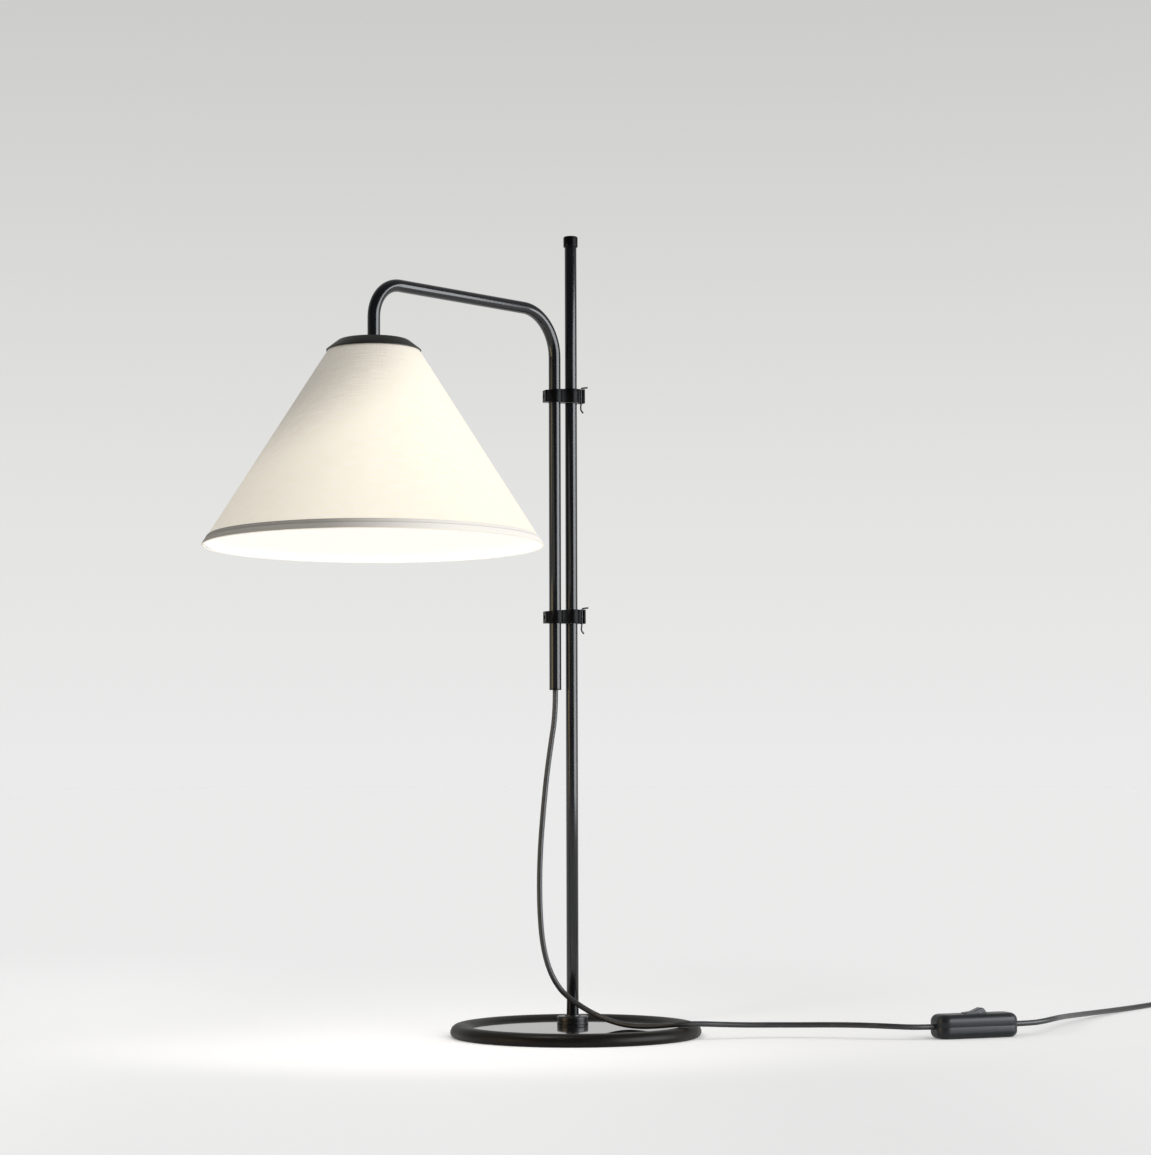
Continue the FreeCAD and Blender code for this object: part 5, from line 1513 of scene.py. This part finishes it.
@dataclass
class Studio:
    """Camera, floor, daylight and the lamp's own light."""

    image_width: float = 1151.0
    image_height: float = 1155.0
    focal_pixels: float = 2830.0
    sensor: float = 36.0
    azimuth: float = -47.9
    pitch: float = 4.02
    roll: float = 0.17
    post: Vector = field(default_factory=lambda: Vector((26.0, 27.0, 0.0)) * MM)
    aside: float = 3.38 * MM
    away: float = 2357.1 * MM
    height: float = 210.4 * MM
    floor_albedo: float = 0.84
    daylight: float = 0.5
    key_strength: float = 1.3
    key_share: float = 0.2
    horizon: float = 0.83
    floor_reach: float = 40.0
    clip_near: float = 0.05
    clip_far: float = 60.0
    sun_spread: float = 60.0
    bulb_power: float = 1.35
    bulb_spread: float = 112.0
    bulb_size: float = 0.03

    def directions(self) -> tuple[Vector, Vector]:
        """Level directions to the camera's right and from the lamp towards the camera."""
        angle = math.radians(self.azimuth)
        right = Vector((math.cos(angle), math.sin(angle), 0.0))
        toward = Vector((math.sin(angle), -math.cos(angle), 0.0))
        return right, toward

    def build(self, head: Matrix) -> None:
        """Set up camera, floor and light.

        Args:
            head: place of the lamp head's axis.
        """
        self.camera()
        self.floor()
        self.world()
        self.lamps(head)

    def camera(self) -> None:
        """The photograph's camera."""
        right, toward = self.directions()
        pitch, roll = math.radians(self.pitch), math.radians(self.roll)
        ahead = -toward * math.cos(pitch) + Vector((0, 0, math.sin(pitch)))
        up = right.cross(ahead)
        side = right * math.cos(roll) - up * math.sin(roll)
        top = right * math.sin(roll) + up * math.cos(roll)
        data = bpy.data.cameras.new("camera")
        data.sensor_width = self.sensor
        data.lens = self.focal_pixels * self.sensor / max(self.image_width, self.image_height)
        data.clip_start, data.clip_end = self.clip_near, self.clip_far
        camera = bpy.data.objects.new("camera", data)
        matrix = Matrix((side, top, -ahead)).transposed().to_4x4()
        matrix.translation = self.post + right * self.aside + toward * self.away
        matrix.translation.z = self.height
        camera.matrix_world = matrix
        bpy.context.scene.collection.objects.link(camera)
        bpy.context.scene.camera = camera

    def floor(self) -> None:
        """A wide pale floor that keeps the lamp's shadow and meets the backdrop's colour; painted
        light makes it brighter to the left and a painted shade band lies right of the middle, both
        fading behind the lamp, and it is painted darker in reflections towards the camera.
        """
        bm = bmesh.new()
        bmesh.ops.create_grid(bm, x_segments=2, y_segments=2, size=self.floor_reach)
        bmesh.ops.translate(bm, vec=(0, 0, -0.05 * MM), verts=bm.verts[:])
        material = bpy.data.materials.new("pale_floor")
        floor = keep(bm, "floor", material, outward=False)
        shader = Shader(material)
        rays = shader.node("ShaderNodeLightPath")
        glossy = Channel(shader, rays.outputs["Is Glossy Ray"])
        seen = (Channel(shader, rays.outputs["Is Camera Ray"]) + glossy
                + Channel(shader, rays.outputs["Is Transmission Ray"]))
        right, toward = self.directions()
        across = shader.along(shader.place(), right)
        # Painted light and shade on the floor: brighter to the left, a darker band right of the
        # middle.
        painted_floor_light_and_shade = (1.0 - across.between(-0.5, -0.25)) * 0.06
        painted_floor_light_and_shade = painted_floor_light_and_shade - (1.0 - ((across - 0.18) / 0.28).size().between(0.0, 1.0)) * 0.045
        depth = shader.along(shader.place(), toward)
        # Painted shade seen in reflections: the floor towards the camera turns darker in glossy
        # rays.
        painted_reflection_shade = depth.between(0.5, 2.4)
        painted_floor_light_and_shade = painted_floor_light_and_shade * depth.between(-1.3, -0.2)
        tone = shader.mix(glossy * painted_reflection_shade, (self.floor_albedo,) * 3, (0.12, 0.12, 0.12))
        matt = shader.node("ShaderNodeBsdfDiffuse", None, {"Color": tone})
        lift = self.horizon - self.floor_albedo * self.daylight - self.key_share
        added = shader.node("ShaderNodeEmission", None, {
            "Color": (1.0, 1.0, 0.99),
            "Strength": seen * (painted_floor_light_and_shade + lift) * (1.0 - glossy * painted_reflection_shade)})
        both = shader.node("ShaderNodeAddShader", None, {0: matt, 1: added})
        shader.node("ShaderNodeOutputMaterial", None, {"Surface": both})

    def world(self) -> None:
        """Soft daylight all round, and a pale backdrop that darkens upwards where it is seen."""
        world = bpy.data.worlds.new("backdrop")
        bpy.context.scene.world = world
        shader = Shader(world)
        rays = shader.node("ShaderNodeLightPath")
        _, toward = self.directions()
        direction = shader.place("Generated")
        level = shader.split(direction)[2]
        ramp = shader.node("ShaderNodeValToRGB", {"stops": [
            (0.0, (self.horizon,) * 3), (0.1, (0.77, 0.77, 0.76)), (0.26, (0.615, 0.615, 0.605)),
            (0.6, (0.45, 0.45, 0.45)), (1.0, (0.4, 0.4, 0.4))]}, {0: level.maths("MAXIMUM", level)})
        behind = shader.along(direction, -toward).between(-0.5, 0.8)
        dim = 0.1 + 0.9 * behind
        dimmed = shader.mix(dim, (0.0, 0.0, 0.0), ramp.outputs[0])
        glossy = Channel(shader, rays.outputs["Is Glossy Ray"])
        shown = shader.mix(glossy, ramp.outputs[0], dimmed)
        light = (self.daylight,) * 3
        diffuse = Channel(shader, rays.outputs["Is Diffuse Ray"])
        colour = shader.mix(diffuse, shown, light)
        background = shader.node("ShaderNodeBackground", None, {"Color": colour})
        shader.node("ShaderNodeOutputWorld", None, {"Surface": background})

    def area(self, name: str, place: Vector, aim: Vector, size: tuple[float, float],
             power: float, seen: Seen, colour: Colour = (1.0, 1.0, 1.0)) -> None:
        """Add a soft rectangular lamp.

        Args:
            name: its name.
            place: where it stands.
            aim: the point it faces.
            size: its width and height.
            power: its power in watts.
            seen: the rays that see it.
            colour: its colour.
        """
        data = bpy.data.lights.new(name, "AREA")
        data.shape = "RECTANGLE"
        data.size, data.size_y = size
        data.energy = power
        data.color = colour
        lamp = bpy.data.objects.new(name, data)
        lamp.location = place
        lamp.rotation_mode = "QUATERNION"
        lamp.rotation_quaternion = (aim - place).to_track_quat("-Z", "Y")
        lamp.visible_camera = False
        lamp.visible_diffuse = seen is not Seen.SHINE
        lamp.visible_glossy = seen is not Seen.DIFFUSE
        bpy.context.scene.collection.objects.link(lamp)

    def lamps(self, head: Matrix) -> None:
        """A tall window to the right, a low fill, and the bulb's own pool on the floor."""
        right, toward = self.directions()
        middle = Vector((0.0, 0.0, 0.35))
        window = middle + right * 1.45 + toward * 0.6
        self.area("window_shine", window, middle, (1.5, 1.7), 56.0, Seen.SHINE,
                  (0.93, 0.96, 1.0))
        sun = bpy.data.lights.new("window_light", "SUN")
        sun.energy = self.key_strength
        sun.angle = math.radians(self.sun_spread)
        key = bpy.data.objects.new("window_light", sun)
        key.rotation_mode = "QUATERNION"
        key.rotation_quaternion = (right * -0.8 - toward * 0.35 - Vector((0, 0, 0.6))
                                   ).to_track_quat("-Z", "Y")
        key.visible_glossy = False
        bpy.context.scene.collection.objects.link(key)
        self.area("warm_shine", middle - right * 1.6 + toward * 0.8, middle, (1.1, 0.8), 8.0,
                  Seen.SHINE, (1.0, 0.76, 0.42))
        data = bpy.data.lights.new("bulb_light", "SPOT")
        data.energy = self.bulb_power
        data.color = (1.0, 0.95, 0.88)
        data.spot_size = math.radians(self.bulb_spread)
        data.spot_blend = 0.6
        data.shadow_soft_size = self.bulb_size
        lamp = bpy.data.objects.new("bulb_light", data)
        place = head @ Vector((0, 0, -0.2)) + right * 0.03
        aim = Vector((place.x, place.y, 0.0)) + right * 0.04 - toward * 0.17
        turn = (aim - place).to_track_quat("-Z", "Y").to_matrix().to_4x4()
        lamp.matrix_world = Matrix.Translation(place) @ turn
        bpy.context.scene.collection.objects.link(lamp)
        lamp.parent = frame["bodies"][Body.ARM.value]


def main() -> None:
    """Build the lamp's sub-assemblies in order, then the studio."""
    logging.basicConfig(level=logging.INFO, format="%(message)s")
    finishes = Finishes()
    Stand(finishes).build()
    arm = Arm(finishes)
    arm.build()
    for side in ("upper", "lower"):
        Clamp(finishes, side).build()
    head = arm.head()
    LampHead(finishes, head).build()
    Shade(finishes, head).build()
    MainsLead(finishes, arm.axis()).build()
    Studio().build(head)
    bpy.context.scene.view_settings.view_transform = "Standard"


if __name__ == "__main__":
    main()
